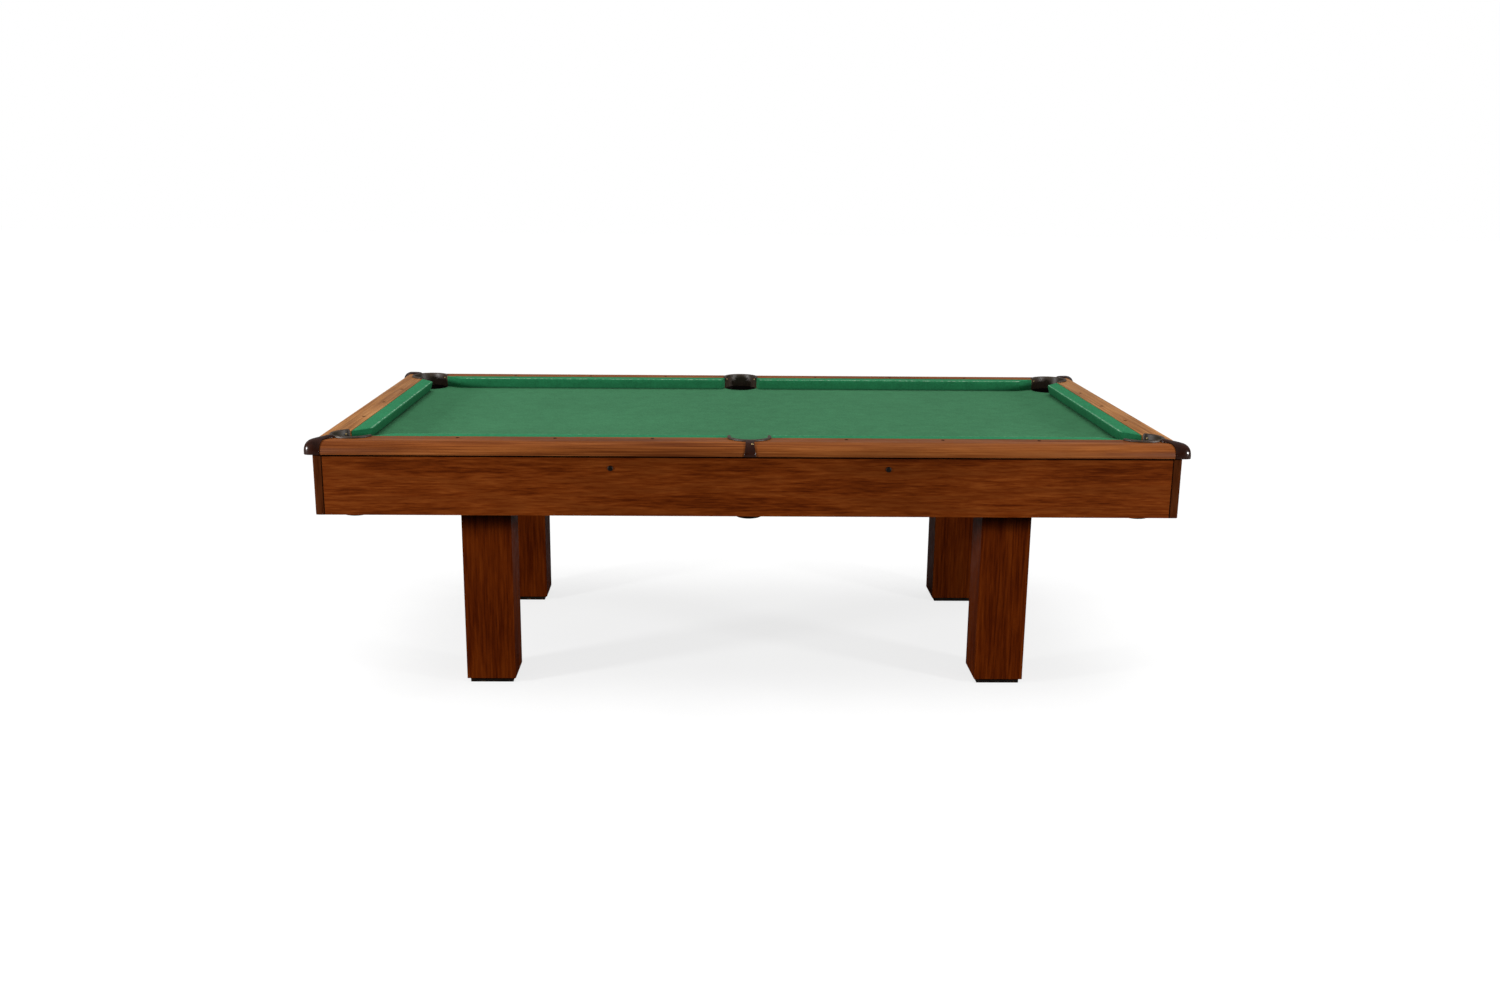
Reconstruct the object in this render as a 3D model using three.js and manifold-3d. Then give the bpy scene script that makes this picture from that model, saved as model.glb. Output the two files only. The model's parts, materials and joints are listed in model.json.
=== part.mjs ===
// A home pool table with drop pockets: a three-piece slate bed on a timber frame, six cushioned
// rails, a laminate cabinet on four box legs, and a levelling foot under each leg.
// Millimetres, +Z up, +X along the table, origin on the floor below its centre.
// Near is -Y, far is +Y, left is -X and right is +X.
import * as THREE from "three";
import { mergeVertices } from "three/addons/utils/BufferGeometryUtils.js";
import Module from "manifold-3d";

const wasm = await Module();
wasm.setup();

// ---- Driving dimensions ----

// Playing surface
const PLAY_LENGTH = 2235.2; // nose to nose, end to end
const PLAY_WIDTH = 1117.6; // nose to nose, side to side
const BED_HEIGHT = 755; // floor to the top of the cloth
const NOSE_HEIGHT = 36; // cushion nose above the cloth

// Clearances
const GAP = 0.3; // between pieces that touch
const POCKET_CLEARANCE = 0.5; // round a pocket liner
const BOLT_CLEARANCE = 0.4; // round a bolt or a stem

// Bed
const CLOTH_THICKNESS = 0.9;
const CLOTH_MARGIN = 45; // cloth beyond the noses, under the cushions
const SLATE_THICKNESS = 25.4;
const SLATE_MARGIN = 76.2; // slate beyond the noses

// Rails and cushions; depths run outwards from the nose
const CUSHION_DEPTH = 48.7;
const CUSHION_UNDERCUT = 12; // the face below the nose leans back this far
const NOSE_ROUND = 3; // height of the blunt nose face
const RAIL_REACH = 140.4; // nose to the rail's outer face
const RAIL_RISE = 37; // rail top above the cloth
const RAIL_ROUND = 34; // quarter-round along the outer top edge

// Pockets
const CORNER_MOUTH = 125.6; // between the nose tips at a corner
const CORNER_LEAN = 52; // degrees each corner facing leans back
const CORNER_RADIUS = 57; // inside of the liner
const CORNER_LAND = 54.4; // rail left outside a corner liner, square to its face
const CORNER_HALF_ARC = 111; // degrees of collar each side of the outward direction
const SIDE_MOUTH = 140;
const SIDE_LEAN = 14;
const SIDE_RADIUS = 54;
const SIDE_LAND = 31.4; // rail left outside a side pocket's flange
const SIDE_HALF_ARC = 91;
const LINER_WALL = 3;
const FLANGE_WIDTH = 7; // rim lying on the rail tops
const FLANGE_THICKNESS = 2.5;
const SIDE_FLANGE_HALF_ARC = 103;
const BUCKET_TAPER = 6; // a bucket narrows by this below the slate
const BUCKET_DROP = 197; // cloth to the underside of the bucket
const BUCKET_ROUND = 24;

// Castings
const CASTING_THICKNESS = 2.2;
const NECK_WIDTH = 22;
const BULB_LEG = 41; // how far the bulb runs along each rail face
const BALL_RADIUS = 26; // round end of the bulb, at the table's corner
const BALL_PROUD = 4; // the ball beyond the casting's faces
const BALL_LIFT = 10; // ball's centre above the rail's underside
const TAB_TOP_WIDTH = 25;
const TAB_EDGE_WIDTH = 29;
const TAB_BOTTOM_WIDTH = 36;

// Cabinet
const RAIL_OVERHANG = 15.1; // rail face beyond the cabinet face
const SHADOW_GAP = 6; // open line between the rails and the aprons
const APRON_DEPTH = 172;
const APRON_THICKNESS = 19;
const POST_SIZE = 28;
const POST_ROUND = 10;

// Frame
const BEAM_WIDTH = 38;
const CROSS_BEAM_HEIGHT = 60;
const LONG_BEAM_HEIGHT = 68;
const END_BEAM_INSET = 203; // end beam's centre inside the cabinet's end face

// Bolts that fasten the aprons to the cross beams under the slate joints
const BOLT_RADIUS = 4;
const BOLT_REACH = 50; // shank length
const BOLT_TIP_ROOM = 2; // hole left beyond the bolt's tip
const BOLT_HEAD_RADIUS = 8;
const BOLT_HEAD_HEIGHT = 3;
const BOLT_DROP = 39; // bolt axis below the cloth

// Legs
const LEG_SIZE = 149;
const LEG_WALL = 18;
const LEG_SOLE = 40; // solid block at the bottom of the hollow leg
const LEG_END_INSET = 384; // cabinet end face to the leg's outer face
const LEG_SIDE_INSET = 179;

// Levelling feet
const PAD_SIZE = 131;
const PAD_THICKNESS = 14.1;
const PAD_BEVEL = 1.2;
const STEM_RADIUS = 5;
const STEM_RISE = 66; // top of the stem above the pad's underside
const COLLAR_RADIUS = 9;
const COLLAR_HEIGHT = 4;
const COLLAR_LIFT = 4; // collar's underside above the pad's underside

// Smoothness
const ROUND_STEPS = 8; // steps in a quarter-round
const BUCKET_ROUND_STEPS = 3;
const CIRCLE_STEPS = 32;
const BOLT_STEPS = 16;
const BIG = 4000; // longer than anything it cuts

// ---- Places that follow from the dimensions ----

const noseX = PLAY_LENGTH / 2;
const noseY = PLAY_WIDTH / 2;
const slateTop = BED_HEIGHT - CLOTH_THICKNESS - GAP;
const slateBottom = slateTop - SLATE_THICKNESS;
const railBottom = slateTop + GAP;
const railTop = BED_HEIGHT + RAIL_RISE;
const flangeTop = railTop + GAP + FLANGE_THICKNESS;
const castingTop = railTop + GAP + CASTING_THICKNESS;
const cabinetX = noseX + RAIL_REACH - RAIL_OVERHANG;
const cabinetY = noseY + RAIL_REACH - RAIL_OVERHANG;
const cabinetTop = railBottom - SHADOW_GAP;
const cabinetBottom = cabinetTop - APRON_DEPTH;
const crossBeamTop = slateBottom - GAP;
const longBeamTop = crossBeamTop - CROSS_BEAM_HEIGHT - GAP;
const legTop = longBeamTop - LONG_BEAM_HEIGHT - GAP;
const legBottom = PAD_THICKNESS + GAP;
const legX = cabinetX - LEG_END_INSET - LEG_SIZE / 2;
const legY = cabinetY - LEG_SIDE_INSET - LEG_SIZE / 2;
const slateX = noseX + SLATE_MARGIN;
const slateY = noseY + SLATE_MARGIN;
const slateJointX = slateX / 3;
const boltZ = BED_HEIGHT - BOLT_DROP;
const boltHole = BOLT_RADIUS + BOLT_CLEARANCE;

const cornerSetback = RAIL_REACH - CORNER_LAND - CORNER_RADIUS; // pocket centre outside the noses
const sideSetback = RAIL_REACH - SIDE_LAND - FLANGE_WIDTH - SIDE_RADIUS;

const corner = {
  x: noseX + cornerSetback,
  y: noseY + cornerSetback,
  radius: CORNER_RADIUS,
  halfArc: CORNER_HALF_ARC,
  flangeHalfArc: CORNER_HALF_ARC,
};
const side = {
  x: 0,
  y: noseY + sideSetback,
  radius: SIDE_RADIUS,
  halfArc: SIDE_HALF_ARC,
  flangeHalfArc: SIDE_FLANGE_HALF_ARC,
};
const pockets = [
  { name: "near_left", ...corner, x: -corner.x, y: -corner.y, turn: 180 },
  { name: "near_right", ...corner, y: -corner.y, turn: -90 },
  { name: "far_right", ...corner, turn: 0 },
  { name: "far_left", ...corner, x: -corner.x, turn: 90 },
  { name: "near_side", ...side, y: -side.y, turn: 180 },
  { name: "far_side", ...side, turn: 0 },
];

// ---- Materials ----

function material(color, roughness, metalness = 0) {
  return () => new THREE.MeshStandardMaterial({ color, roughness, metalness });
}
const walnutLaminate = material(0x552c13, 0.4);
const railLaminate = material(0x8a5a3c, 0.4);
const darkTrim = material(0x2d1a10, 0.2);
const blackPlastic = material(0x0f0b0a, 0.5);
const greenCloth = material(0x2c6b4a, 0.95);
const slateStone = material(0x4a4c50, 0.8);
const timber = material(0xb08a5a, 0.8);
const blackSteel = material(0x1c1a19, 0.45, 0.8);
const zincSteel = material(0x9a9a98, 0.4, 0.9);
const blackFoot = material(0x14100d, 0.7);

// ---- Solids ----

const radians = THREE.MathUtils.degToRad;
const axisX = new THREE.Vector3(1, 0, 0);
const axisY = new THREE.Vector3(0, 1, 0);
const axisZ = new THREE.Vector3(0, 0, 1);

// A closed geometry as a manifold-3d solid, for cuts and joins.
function solid(geometry) {
  const flat = geometry.index ? geometry.toNonIndexed() : geometry;
  const bare = new THREE.BufferGeometry().setAttribute("position", flat.getAttribute("position"));
  const merged = mergeVertices(bare, 1e-4);
  const triVerts = new Uint32Array(merged.index.array);
  const vertProperties = merged.attributes.position.array;
  return new wasm.Manifold(new wasm.Mesh({ numProp: 3, vertProperties, triVerts }));
}

// A solid back as a geometry that a mesh can show.
function geometryOf(body) {
  const { vertProperties, triVerts } = body.getMesh();
  const geometry = new THREE.BufferGeometry();
  geometry.setAttribute("position", new THREE.BufferAttribute(vertProperties, 3));
  geometry.setIndex(new THREE.BufferAttribute(triVerts, 1));
  geometry.computeVertexNormals();
  return geometry;
}

function shapeOf(points) {
  return new THREE.Shape(points.map(([x, y]) => new THREE.Vector2(x, y)));
}

// A plan shape raised between two heights.
function plateGeometry(shape, bottom, top) {
  const options = { depth: top - bottom, bevelEnabled: false, curveSegments: ROUND_STEPS };
  return new THREE.ExtrudeGeometry(shape, options).translate(0, 0, bottom);
}

// A (Y, Z) section drawn out along X.
function barGeometry(shape, left, right) {
  const options = { depth: right - left, bevelEnabled: false, curveSegments: ROUND_STEPS };
  const geometry = new THREE.ExtrudeGeometry(shape, options).translate(0, 0, left);
  return geometry.applyMatrix4(new THREE.Matrix4().makeBasis(axisY, axisZ, axisX));
}

function boxGeometry(left, right, near, far, bottom, top) {
  const geometry = new THREE.BoxGeometry(right - left, far - near, top - bottom);
  return geometry.translate((left + right) / 2, (near + far) / 2, (bottom + top) / 2);
}

// A (radius, Z) profile turned about the vertical axis, listed from the bottom up its outside.
function turnedGeometry(profile, steps = CIRCLE_STEPS) {
  const points = profile.map(([r, z]) => new THREE.Vector2(r, z));
  return new THREE.LatheGeometry(points, steps).rotateX(Math.PI / 2);
}

function cylinderGeometry(radius, bottom, top, steps = CIRCLE_STEPS) {
  const profile = [
    [0, bottom],
    [radius, bottom],
    [radius, top],
    [0, top],
  ];
  return turnedGeometry(profile, steps);
}

// The points of a quarter circle between two directions, in degrees.
function arcPoints(centreX, centreY, radius, fromAngle, toAngle, steps = ROUND_STEPS) {
  return Array.from({ length: steps + 1 }, (_, i) => {
    const angle = radians(fromAngle + ((toAngle - fromAngle) * i) / steps);
    return [centreX + radius * Math.cos(angle), centreY + radius * Math.sin(angle)];
  });
}

// ---- The table's parts ----

const table = new THREE.Group();

function addPiece(name, geometry, makeMaterial) {
  const piece = new THREE.Mesh(geometry, makeMaterial());
  piece.name = name;
  table.add(piece);
  return piece;
}

// Removes every pocket's hole, of its own radius plus a margin, from a solid in the table's frame.
function cutPockets(body, margin, bottom = 0, top = BED_HEIGHT * 2) {
  return pockets.reduce((left, pocket) => {
    const hole = cylinderGeometry(pocket.radius + margin, bottom, top);
    return left.subtract(solid(hole.translate(pocket.x, pocket.y, 0)));
  }, body);
}

const linerMargin = LINER_WALL + POCKET_CLEARANCE;

// Slate: three slabs that meet over two cross beams. Behind each corner hole nothing is left.
function buildSlate() {
  const spans = {
    left: [-slateX, -slateJointX],
    centre: [-slateJointX, slateJointX],
    right: [slateJointX, slateX],
  };
  for (const [name, [from, to]] of Object.entries(spans)) {
    const slab = boxGeometry(from + GAP / 2, to - GAP / 2, -slateY, slateY, slateBottom, slateTop);
    let body = cutPockets(solid(slab), linerMargin);
    for (const sx of [-1, 1]) {
      for (const sy of [-1, 1]) {
        const [x0, x1] = [sx * corner.x, sx * BIG].sort((a, b) => a - b);
        const [y0, y1] = [sy * corner.y, sy * BIG].sort((a, b) => a - b);
        body = body.subtract(solid(boxGeometry(x0, x1, y0, y1, 0, BIG)));
      }
    }
    addPiece(`slate_${name}`, geometryOf(body), slateStone);
  }
}

function buildCloth() {
  const [x, y] = [noseX + CLOTH_MARGIN, noseY + CLOTH_MARGIN];
  const sheet = boxGeometry(-x, x, -y, y, slateTop + GAP, BED_HEIGHT);
  addPiece("bed_cloth", geometryOf(cutPockets(solid(sheet), linerMargin)), greenCloth);
}

// The rail's outer profile, pushed out by a margin, from its bottom edge up to its flat top.
function railProfile(reach, margin) {
  const centre = [reach - RAIL_ROUND, railTop - RAIL_ROUND];
  return [[reach + margin, railBottom], ...arcPoints(...centre, RAIL_ROUND + margin, 0, 90)];
}

// Distances along a corner's diagonal from the pocket's centre: where the casting starts, where
// its neck begins to widen, and where the bulb meets the rails' outer faces.
const cornerReach = RAIL_REACH - cornerSetback;
const neckStart = CORNER_RADIUS + FLANGE_WIDTH + GAP;
const bulbEnd = (2 * cornerReach - BULB_LEG) * Math.SQRT1_2;
const neckEnd = (neckStart + bulbEnd) / 2;

// A corner casting's outline about the pocket's centre: a neck that flares into the corner bulb.
// The table's corner is towards +X +Y; grow widens the outline all round.
function castingShape(grow) {
  const half = NECK_WIDTH / 2 + grow;
  const outer = cornerReach + grow;
  const bulbSide = cornerReach - BULB_LEG - grow;
  const flare = neckEnd + (bulbEnd - neckEnd) / 3 - grow;
  const along = (s, t) => [(s - t) * Math.SQRT1_2, (s + t) * Math.SQRT1_2];
  const shape = new THREE.Shape();
  shape.moveTo(...along(neckStart - grow, -half));
  shape.lineTo(...along(neckEnd - grow, -half));
  shape.quadraticCurveTo(...along(flare, -half), outer, bulbSide);
  shape.lineTo(BIG, bulbSide);
  shape.lineTo(BIG, BIG);
  shape.lineTo(bulbSide, BIG);
  shape.lineTo(bulbSide, outer);
  shape.quadraticCurveTo(...along(flare, half), ...along(neckEnd - grow, half));
  shape.lineTo(...along(neckStart - grow, half));
  return shape;
}

// The part of that outline where the casting fills the corner from top to bottom.
function bulbSolid(grow) {
  const outline = solid(plateGeometry(castingShape(grow), railBottom - GAP, BED_HEIGHT * 2));
  const inner = (neckEnd - grow) * Math.SQRT2;
  const keep = shapeOf([
    [inner, 0],
    [BIG, 0],
    [BIG, BIG],
    [0, BIG],
    [0, inner],
  ]);
  return outline.intersect(solid(plateGeometry(keep, 0, BIG)));
}

// Rails and cushions of one side, with the side facing +Y. halfLength and halfWidth are the
// distances from the table's centre to the noses at the side's ends and at the side itself.
function railSolid(halfLength, halfWidth, from, to) {
  const section = shapeOf([
    [halfWidth + CUSHION_DEPTH, railBottom],
    ...railProfile(halfWidth + RAIL_REACH, 0),
    [halfWidth + CUSHION_DEPTH, railTop],
  ]);
  const [inner, outer] = [CUSHION_DEPTH - 1, RAIL_REACH + 1];
  const mitre = (depth) => halfLength + depth - GAP;
  const plan = shapeOf([
    [Math.max(from, -mitre(inner)), halfWidth + inner],
    [Math.min(to, mitre(inner)), halfWidth + inner],
    [Math.min(to, mitre(outer)), halfWidth + outer],
    [Math.max(from, -mitre(outer)), halfWidth + outer],
  ]);
  return solid(barGeometry(section, -BIG, BIG)).intersect(solid(plateGeometry(plan, 0, BIG)));
}

function cushionSolid(halfWidth, leftTip, leftLean, rightTip, rightLean) {
  const back = CUSHION_DEPTH - GAP;
  const section = shapeOf([
    [halfWidth + CUSHION_UNDERCUT, BED_HEIGHT + GAP],
    [halfWidth + back, BED_HEIGHT + GAP],
    [halfWidth + back, railTop],
    [halfWidth + NOSE_ROUND / 2, BED_HEIGHT + NOSE_HEIGHT],
    [halfWidth, BED_HEIGHT + NOSE_HEIGHT - NOSE_ROUND / 2],
    [halfWidth, BED_HEIGHT + NOSE_HEIGHT - NOSE_ROUND],
  ]);
  const plan = shapeOf([
    [leftTip, halfWidth],
    [rightTip, halfWidth],
    [rightTip + CUSHION_DEPTH * Math.tan(radians(rightLean)), halfWidth + CUSHION_DEPTH],
    [leftTip - CUSHION_DEPTH * Math.tan(radians(leftLean)), halfWidth + CUSHION_DEPTH],
  ]);
  return solid(barGeometry(section, -BIG, BIG)).intersect(solid(plateGeometry(plan, 0, BIG)));
}

// Takes the corner bulbs out of a rail that lies in the table's frame.
function cutBulbs(body) {
  return pockets
    .filter((pocket) => pocket.x !== 0)
    .reduce((left, pocket) => {
      const bulb = geometryOf(bulbSolid(POCKET_CLEARANCE)).rotateZ(radians(pocket.turn));
      return left.subtract(solid(bulb.translate(pocket.x, pocket.y, 0)));
    }, body);
}

function buildRails() {
  const tip = CORNER_MOUTH * Math.SQRT1_2;
  const long = [noseX, noseY];
  const end = [noseY, noseX];
  const outwards = BIG;
  const rails = [
    { name: "near_right", size: long, turn: 180, from: -outwards, to: -GAP },
    { name: "near_left", size: long, turn: 180, from: GAP, to: outwards },
    { name: "far_left", size: long, turn: 0, from: -outwards, to: -GAP },
    { name: "far_right", size: long, turn: 0, from: GAP, to: outwards },
    { name: "left_end", size: end, turn: 90, from: -outwards, to: outwards },
    { name: "right_end", size: end, turn: -90, from: -outwards, to: outwards },
  ];
  for (const { name, size, turn, from, to } of rails) {
    const [halfLength, halfWidth] = size;
    const left = from === GAP ? [SIDE_MOUTH / 2, SIDE_LEAN] : [tip - halfLength, CORNER_LEAN];
    const right = to === -GAP ? [-SIDE_MOUTH / 2, SIDE_LEAN] : [halfLength - tip, CORNER_LEAN];
    const placed = (body) => solid(geometryOf(body).rotateZ(radians(turn)));
    const rail = placed(railSolid(halfLength, halfWidth, from, to));
    const cushion = placed(cushionSolid(halfWidth, ...left, ...right));
    addPiece(`rail_${name}`, geometryOf(cutBulbs(cutPockets(rail, linerMargin))), railLaminate);
    addPiece(`cushion_${name}`, geometryOf(cutPockets(cushion, linerMargin)), greenCloth);
  }
}

// A ring segment about the pocket's centre, open towards the table's middle.
function collarSolid(inner, outer, halfArc, outward, bottom, top) {
  const profile = [
    [inner, bottom],
    [outer, bottom],
    [outer, top],
    [inner, top],
    [inner, bottom],
  ];
  const wedge = shapeOf([[0, 0], ...arcPoints(0, 0, BIG, outward - halfArc, outward + halfArc)]);
  return solid(turnedGeometry(profile)).intersect(solid(plateGeometry(wedge, 0, BIG)));
}

// A liner: a bucket under the slate, a wall behind the mouth and a flange on the rail tops.
function linerGeometry({ x, radius, halfArc, flangeHalfArc }) {
  const outward = x === 0 ? 90 : 45;
  const outer = radius + LINER_WALL;
  const bottom = BED_HEIGHT - BUCKET_DROP;
  const lip = BED_HEIGHT - 2 * GAP;
  const neck = slateBottom - BUCKET_TAPER;
  const roundCentre = [outer - BUCKET_TAPER - BUCKET_ROUND, bottom + BUCKET_ROUND];
  const profile = [
    [0, bottom],
    ...arcPoints(...roundCentre, BUCKET_ROUND, -90, 0, BUCKET_ROUND_STEPS),
    [outer - BUCKET_TAPER, neck],
    [outer, slateBottom],
    [outer, lip],
    [radius, lip],
    [radius, slateBottom],
    [radius - BUCKET_TAPER, neck],
    ...arcPoints(...roundCentre, BUCKET_ROUND - LINER_WALL, 0, -90, BUCKET_ROUND_STEPS),
    [0, bottom + LINER_WALL],
  ];
  const bucket = solid(turnedGeometry(profile));
  const wall = collarSolid(radius, outer, halfArc, outward, lip - SLATE_THICKNESS / 2, flangeTop);
  const flange = [radius, radius + FLANGE_WIDTH, flangeHalfArc, outward, railTop + GAP, flangeTop];
  return geometryOf(bucket.add(wall).add(collarSolid(...flange)));
}

// A corner casting: a thin neck on the mitre of two rails and a bulb with a ball round their corner.
function cornerCastingGeometry() {
  const face = cornerReach + CASTING_THICKNESS;
  const round = RAIL_ROUND + CASTING_THICKNESS;
  const centre = face - round;
  const section = shapeOf([
    [0, railBottom],
    [face, railBottom],
    ...arcPoints(centre, castingTop - round, round, 0, 90),
    [0, castingTop],
  ]);
  const dome = turnedGeometry([
    [0, railBottom],
    [round, railBottom],
    ...arcPoints(0, castingTop - round, round, 0, 90),
  ]);
  const ball = turnedGeometry([
    [0, railBottom],
    [BALL_RADIUS, railBottom],
    ...arcPoints(0, railBottom + BALL_LIFT, BALL_RADIUS, 0, 90),
  ]);
  const ballCentre = face + BALL_PROUD - BALL_RADIUS;
  const alongX = solid(barGeometry(section, 0, centre));
  const alongY = solid(barGeometry(section, -centre, 0).rotateZ(-Math.PI / 2));
  const flat = alongX.add(alongY).add(solid(dome.translate(centre, centre, 0)));
  const corners = flat.add(solid(ball.translate(ballCentre, ballCentre, 0)));
  const neck = solid(plateGeometry(castingShape(0), railTop + GAP, BED_HEIGHT * 2));
  return geometryOf(neck.add(bulbSolid(0)).intersect(corners));
}

// A side casting: a tab from the pocket's flange over the rounded rail edge and down its face.
function sideCastingGeometry() {
  const reach = RAIL_REACH - sideSetback;
  const start = SIDE_RADIUS + FLANGE_WIDTH + GAP;
  const half = TAB_BOTTOM_WIDTH / 2;
  const section = shapeOf([
    ...railProfile(reach, GAP + CASTING_THICKNESS),
    [0, castingTop],
    ...railProfile(reach, GAP).concat([[0, railTop + GAP]]).reverse(),
  ]);
  const plan = shapeOf([
    [-TAB_TOP_WIDTH / 2, start],
    [TAB_TOP_WIDTH / 2, start],
    [TAB_EDGE_WIDTH / 2, reach],
    [half, reach + BULB_LEG],
    [-half, reach + BULB_LEG],
    [-TAB_EDGE_WIDTH / 2, reach],
  ]);
  const elevation = shapeOf([
    [-half, railBottom],
    [half, railBottom],
    [TAB_TOP_WIDTH / 2, castingTop + GAP],
    [-TAB_TOP_WIDTH / 2, castingTop + GAP],
  ]);
  const front = plateGeometry(elevation, -BIG, BIG).rotateX(Math.PI / 2);
  const band = solid(barGeometry(section, -half, half));
  return geometryOf(band.intersect(solid(plateGeometry(plan, 0, BIG))).intersect(solid(front)));
}

function buildPockets() {
  for (const pocket of pockets) {
    const isSide = pocket.x === 0;
    const liner = addPiece(`pocket_${pocket.name}`, linerGeometry(pocket), blackPlastic);
    const castingShapeOf = isSide ? sideCastingGeometry : cornerCastingGeometry;
    const casting = addPiece(`casting_${pocket.name}`, castingShapeOf(), darkTrim);
    for (const piece of [liner, casting]) {
      piece.position.set(pocket.x, pocket.y, 0);
      piece.rotation.z = radians(pocket.turn);
    }
  }
}

// A cylinder along Y, for the bolts and their holes.
function crossCylinder(radius, near, far, x, z) {
  return cylinderGeometry(radius, near, far, BOLT_STEPS).rotateX(-Math.PI / 2).translate(x, 0, z);
}

function buildCabinet() {
  const sideLength = cabinetX - POST_SIZE - GAP;
  const endLength = cabinetY - POST_SIZE - GAP;
  const inner = cabinetY - APRON_THICKNESS;
  for (const [name, sign] of [["near", -1], ["far", 1]]) {
    const [y0, y1] = [sign * inner, sign * cabinetY].sort((a, b) => a - b);
    let board = solid(boxGeometry(-sideLength, sideLength, y0, y1, cabinetBottom, cabinetTop));
    for (const x of [-slateJointX, slateJointX]) {
      board = board.subtract(solid(crossCylinder(boltHole, -BIG, BIG, x, boltZ)));
    }
    addPiece(`apron_${name}`, geometryOf(cutPockets(board, linerMargin)), walnutLaminate);
  }
  const endInner = cabinetX - APRON_THICKNESS;
  for (const [name, sign] of [["left", -1], ["right", 1]]) {
    const [x0, x1] = [sign * endInner, sign * cabinetX].sort((a, b) => a - b);
    const board = boxGeometry(x0, x1, -endLength, endLength, cabinetBottom, cabinetTop);
    addPiece(`apron_${name}_end`, board, walnutLaminate);
  }
  const post = shapeOf([
    [-POST_SIZE, -POST_SIZE],
    [0, -POST_SIZE],
    ...arcPoints(-POST_ROUND, -POST_ROUND, POST_ROUND, 0, 90),
    [-POST_SIZE, 0],
  ]);
  for (const pocket of pockets.filter(({ x }) => x !== 0)) {
    const geometry = plateGeometry(post, cabinetBottom, cabinetTop);
    const piece = addPiece(`corner_post_${pocket.name}`, geometry, darkTrim);
    piece.position.set(Math.sign(pocket.x) * cabinetX, Math.sign(pocket.y) * cabinetY, 0);
    piece.rotation.z = radians(pocket.turn);
  }
}

// Two long beams stand on the legs and carry six cross beams, which carry the slate.
function buildFrame() {
  const reachX = cabinetX - APRON_THICKNESS - GAP;
  const reachY = cabinetY - APRON_THICKNESS - GAP;
  for (const [name, y] of [["near", -legY], ["far", legY]]) {
    const plan = [-reachX, reachX, y - BEAM_WIDTH / 2, y + BEAM_WIDTH / 2];
    const beam = boxGeometry(...plan, longBeamTop - LONG_BEAM_HEIGHT, longBeamTop);
    addPiece(`long_beam_${name}`, beam, timber);
  }
  const places = { joint: slateJointX, leg: legX, end: cabinetX - END_BEAM_INSET };
  for (const [place, distance] of Object.entries(places)) {
    for (const [name, sign] of [["left", -1], ["right", 1]]) {
      const x = sign * distance;
      const span = [x - BEAM_WIDTH / 2, x + BEAM_WIDTH / 2, -reachY, reachY];
      let beam = solid(boxGeometry(...span, crossBeamTop - CROSS_BEAM_HEIGHT, crossBeamTop));
      if (place === "joint") {
        const holeEnd = cabinetY - BOLT_REACH - BOLT_TIP_ROOM;
        beam = beam.subtract(solid(crossCylinder(boltHole, holeEnd, BIG, x, boltZ)));
        beam = beam.subtract(solid(crossCylinder(boltHole, -BIG, -holeEnd, x, boltZ)));
      }
      addPiece(`cross_beam_${place}_${name}`, geometryOf(beam), timber);
    }
  }
}

function buildBolts() {
  const face = cabinetY + GAP;
  const profile = [
    [0, face - BOLT_REACH],
    [BOLT_RADIUS, face - BOLT_REACH],
    [BOLT_RADIUS, face],
    [BOLT_HEAD_RADIUS, face],
    [BOLT_HEAD_RADIUS, face + BOLT_HEAD_HEIGHT / 2],
    [BOLT_HEAD_RADIUS * 0.7, face + BOLT_HEAD_HEIGHT],
    [0, face + BOLT_HEAD_HEIGHT],
  ];
  for (const [row, turn] of [["near", 180], ["far", 0]]) {
    for (const [name, x] of [["left", -slateJointX], ["right", slateJointX]]) {
      const geometry = turnedGeometry(profile, BOLT_STEPS).rotateX(-Math.PI / 2).rotateZ(radians(turn));
      const bolt = addPiece(`apron_bolt_${row}_${name}`, geometry, blackSteel);
      bolt.position.set(x, 0, boltZ);
    }
  }
}

function legGeometry() {
  const half = LEG_SIZE / 2;
  const hollow = half - LEG_WALL;
  const post = solid(boxGeometry(-half, half, -half, half, legBottom, legTop));
  const inside = boxGeometry(-hollow, hollow, -hollow, hollow, legBottom + LEG_SOLE, BIG);
  const bore = cylinderGeometry(STEM_RADIUS + BOLT_CLEARANCE, 0, legBottom + LEG_SOLE + GAP, BOLT_STEPS);
  return geometryOf(post.subtract(solid(inside)).subtract(solid(bore)));
}

// A square foot plate with a chamber that holds the stem's collar and lets it turn.
function padGeometry() {
  const half = PAD_SIZE / 2 - PAD_BEVEL;
  const outline = shapeOf([
    [-half, -half],
    [half, -half],
    [half, half],
    [-half, half],
  ]);
  const bevel = { bevelEnabled: true, bevelThickness: PAD_BEVEL, bevelSize: PAD_BEVEL, bevelSegments: 1 };
  const depth = PAD_THICKNESS - 2 * PAD_BEVEL;
  const plate = new THREE.ExtrudeGeometry(outline, { depth, ...bevel }).translate(0, 0, PAD_BEVEL);
  const chamberTop = COLLAR_LIFT + COLLAR_HEIGHT + GAP;
  const chamber = turnedGeometry([
    [0, COLLAR_LIFT - GAP],
    [COLLAR_RADIUS + BOLT_CLEARANCE, COLLAR_LIFT - GAP],
    [COLLAR_RADIUS + BOLT_CLEARANCE, chamberTop],
    [STEM_RADIUS + BOLT_CLEARANCE, chamberTop],
    [STEM_RADIUS + BOLT_CLEARANCE, PAD_THICKNESS + 1],
    [0, PAD_THICKNESS + 1],
  ], BOLT_STEPS);
  return geometryOf(solid(plate).subtract(solid(chamber)));
}

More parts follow.
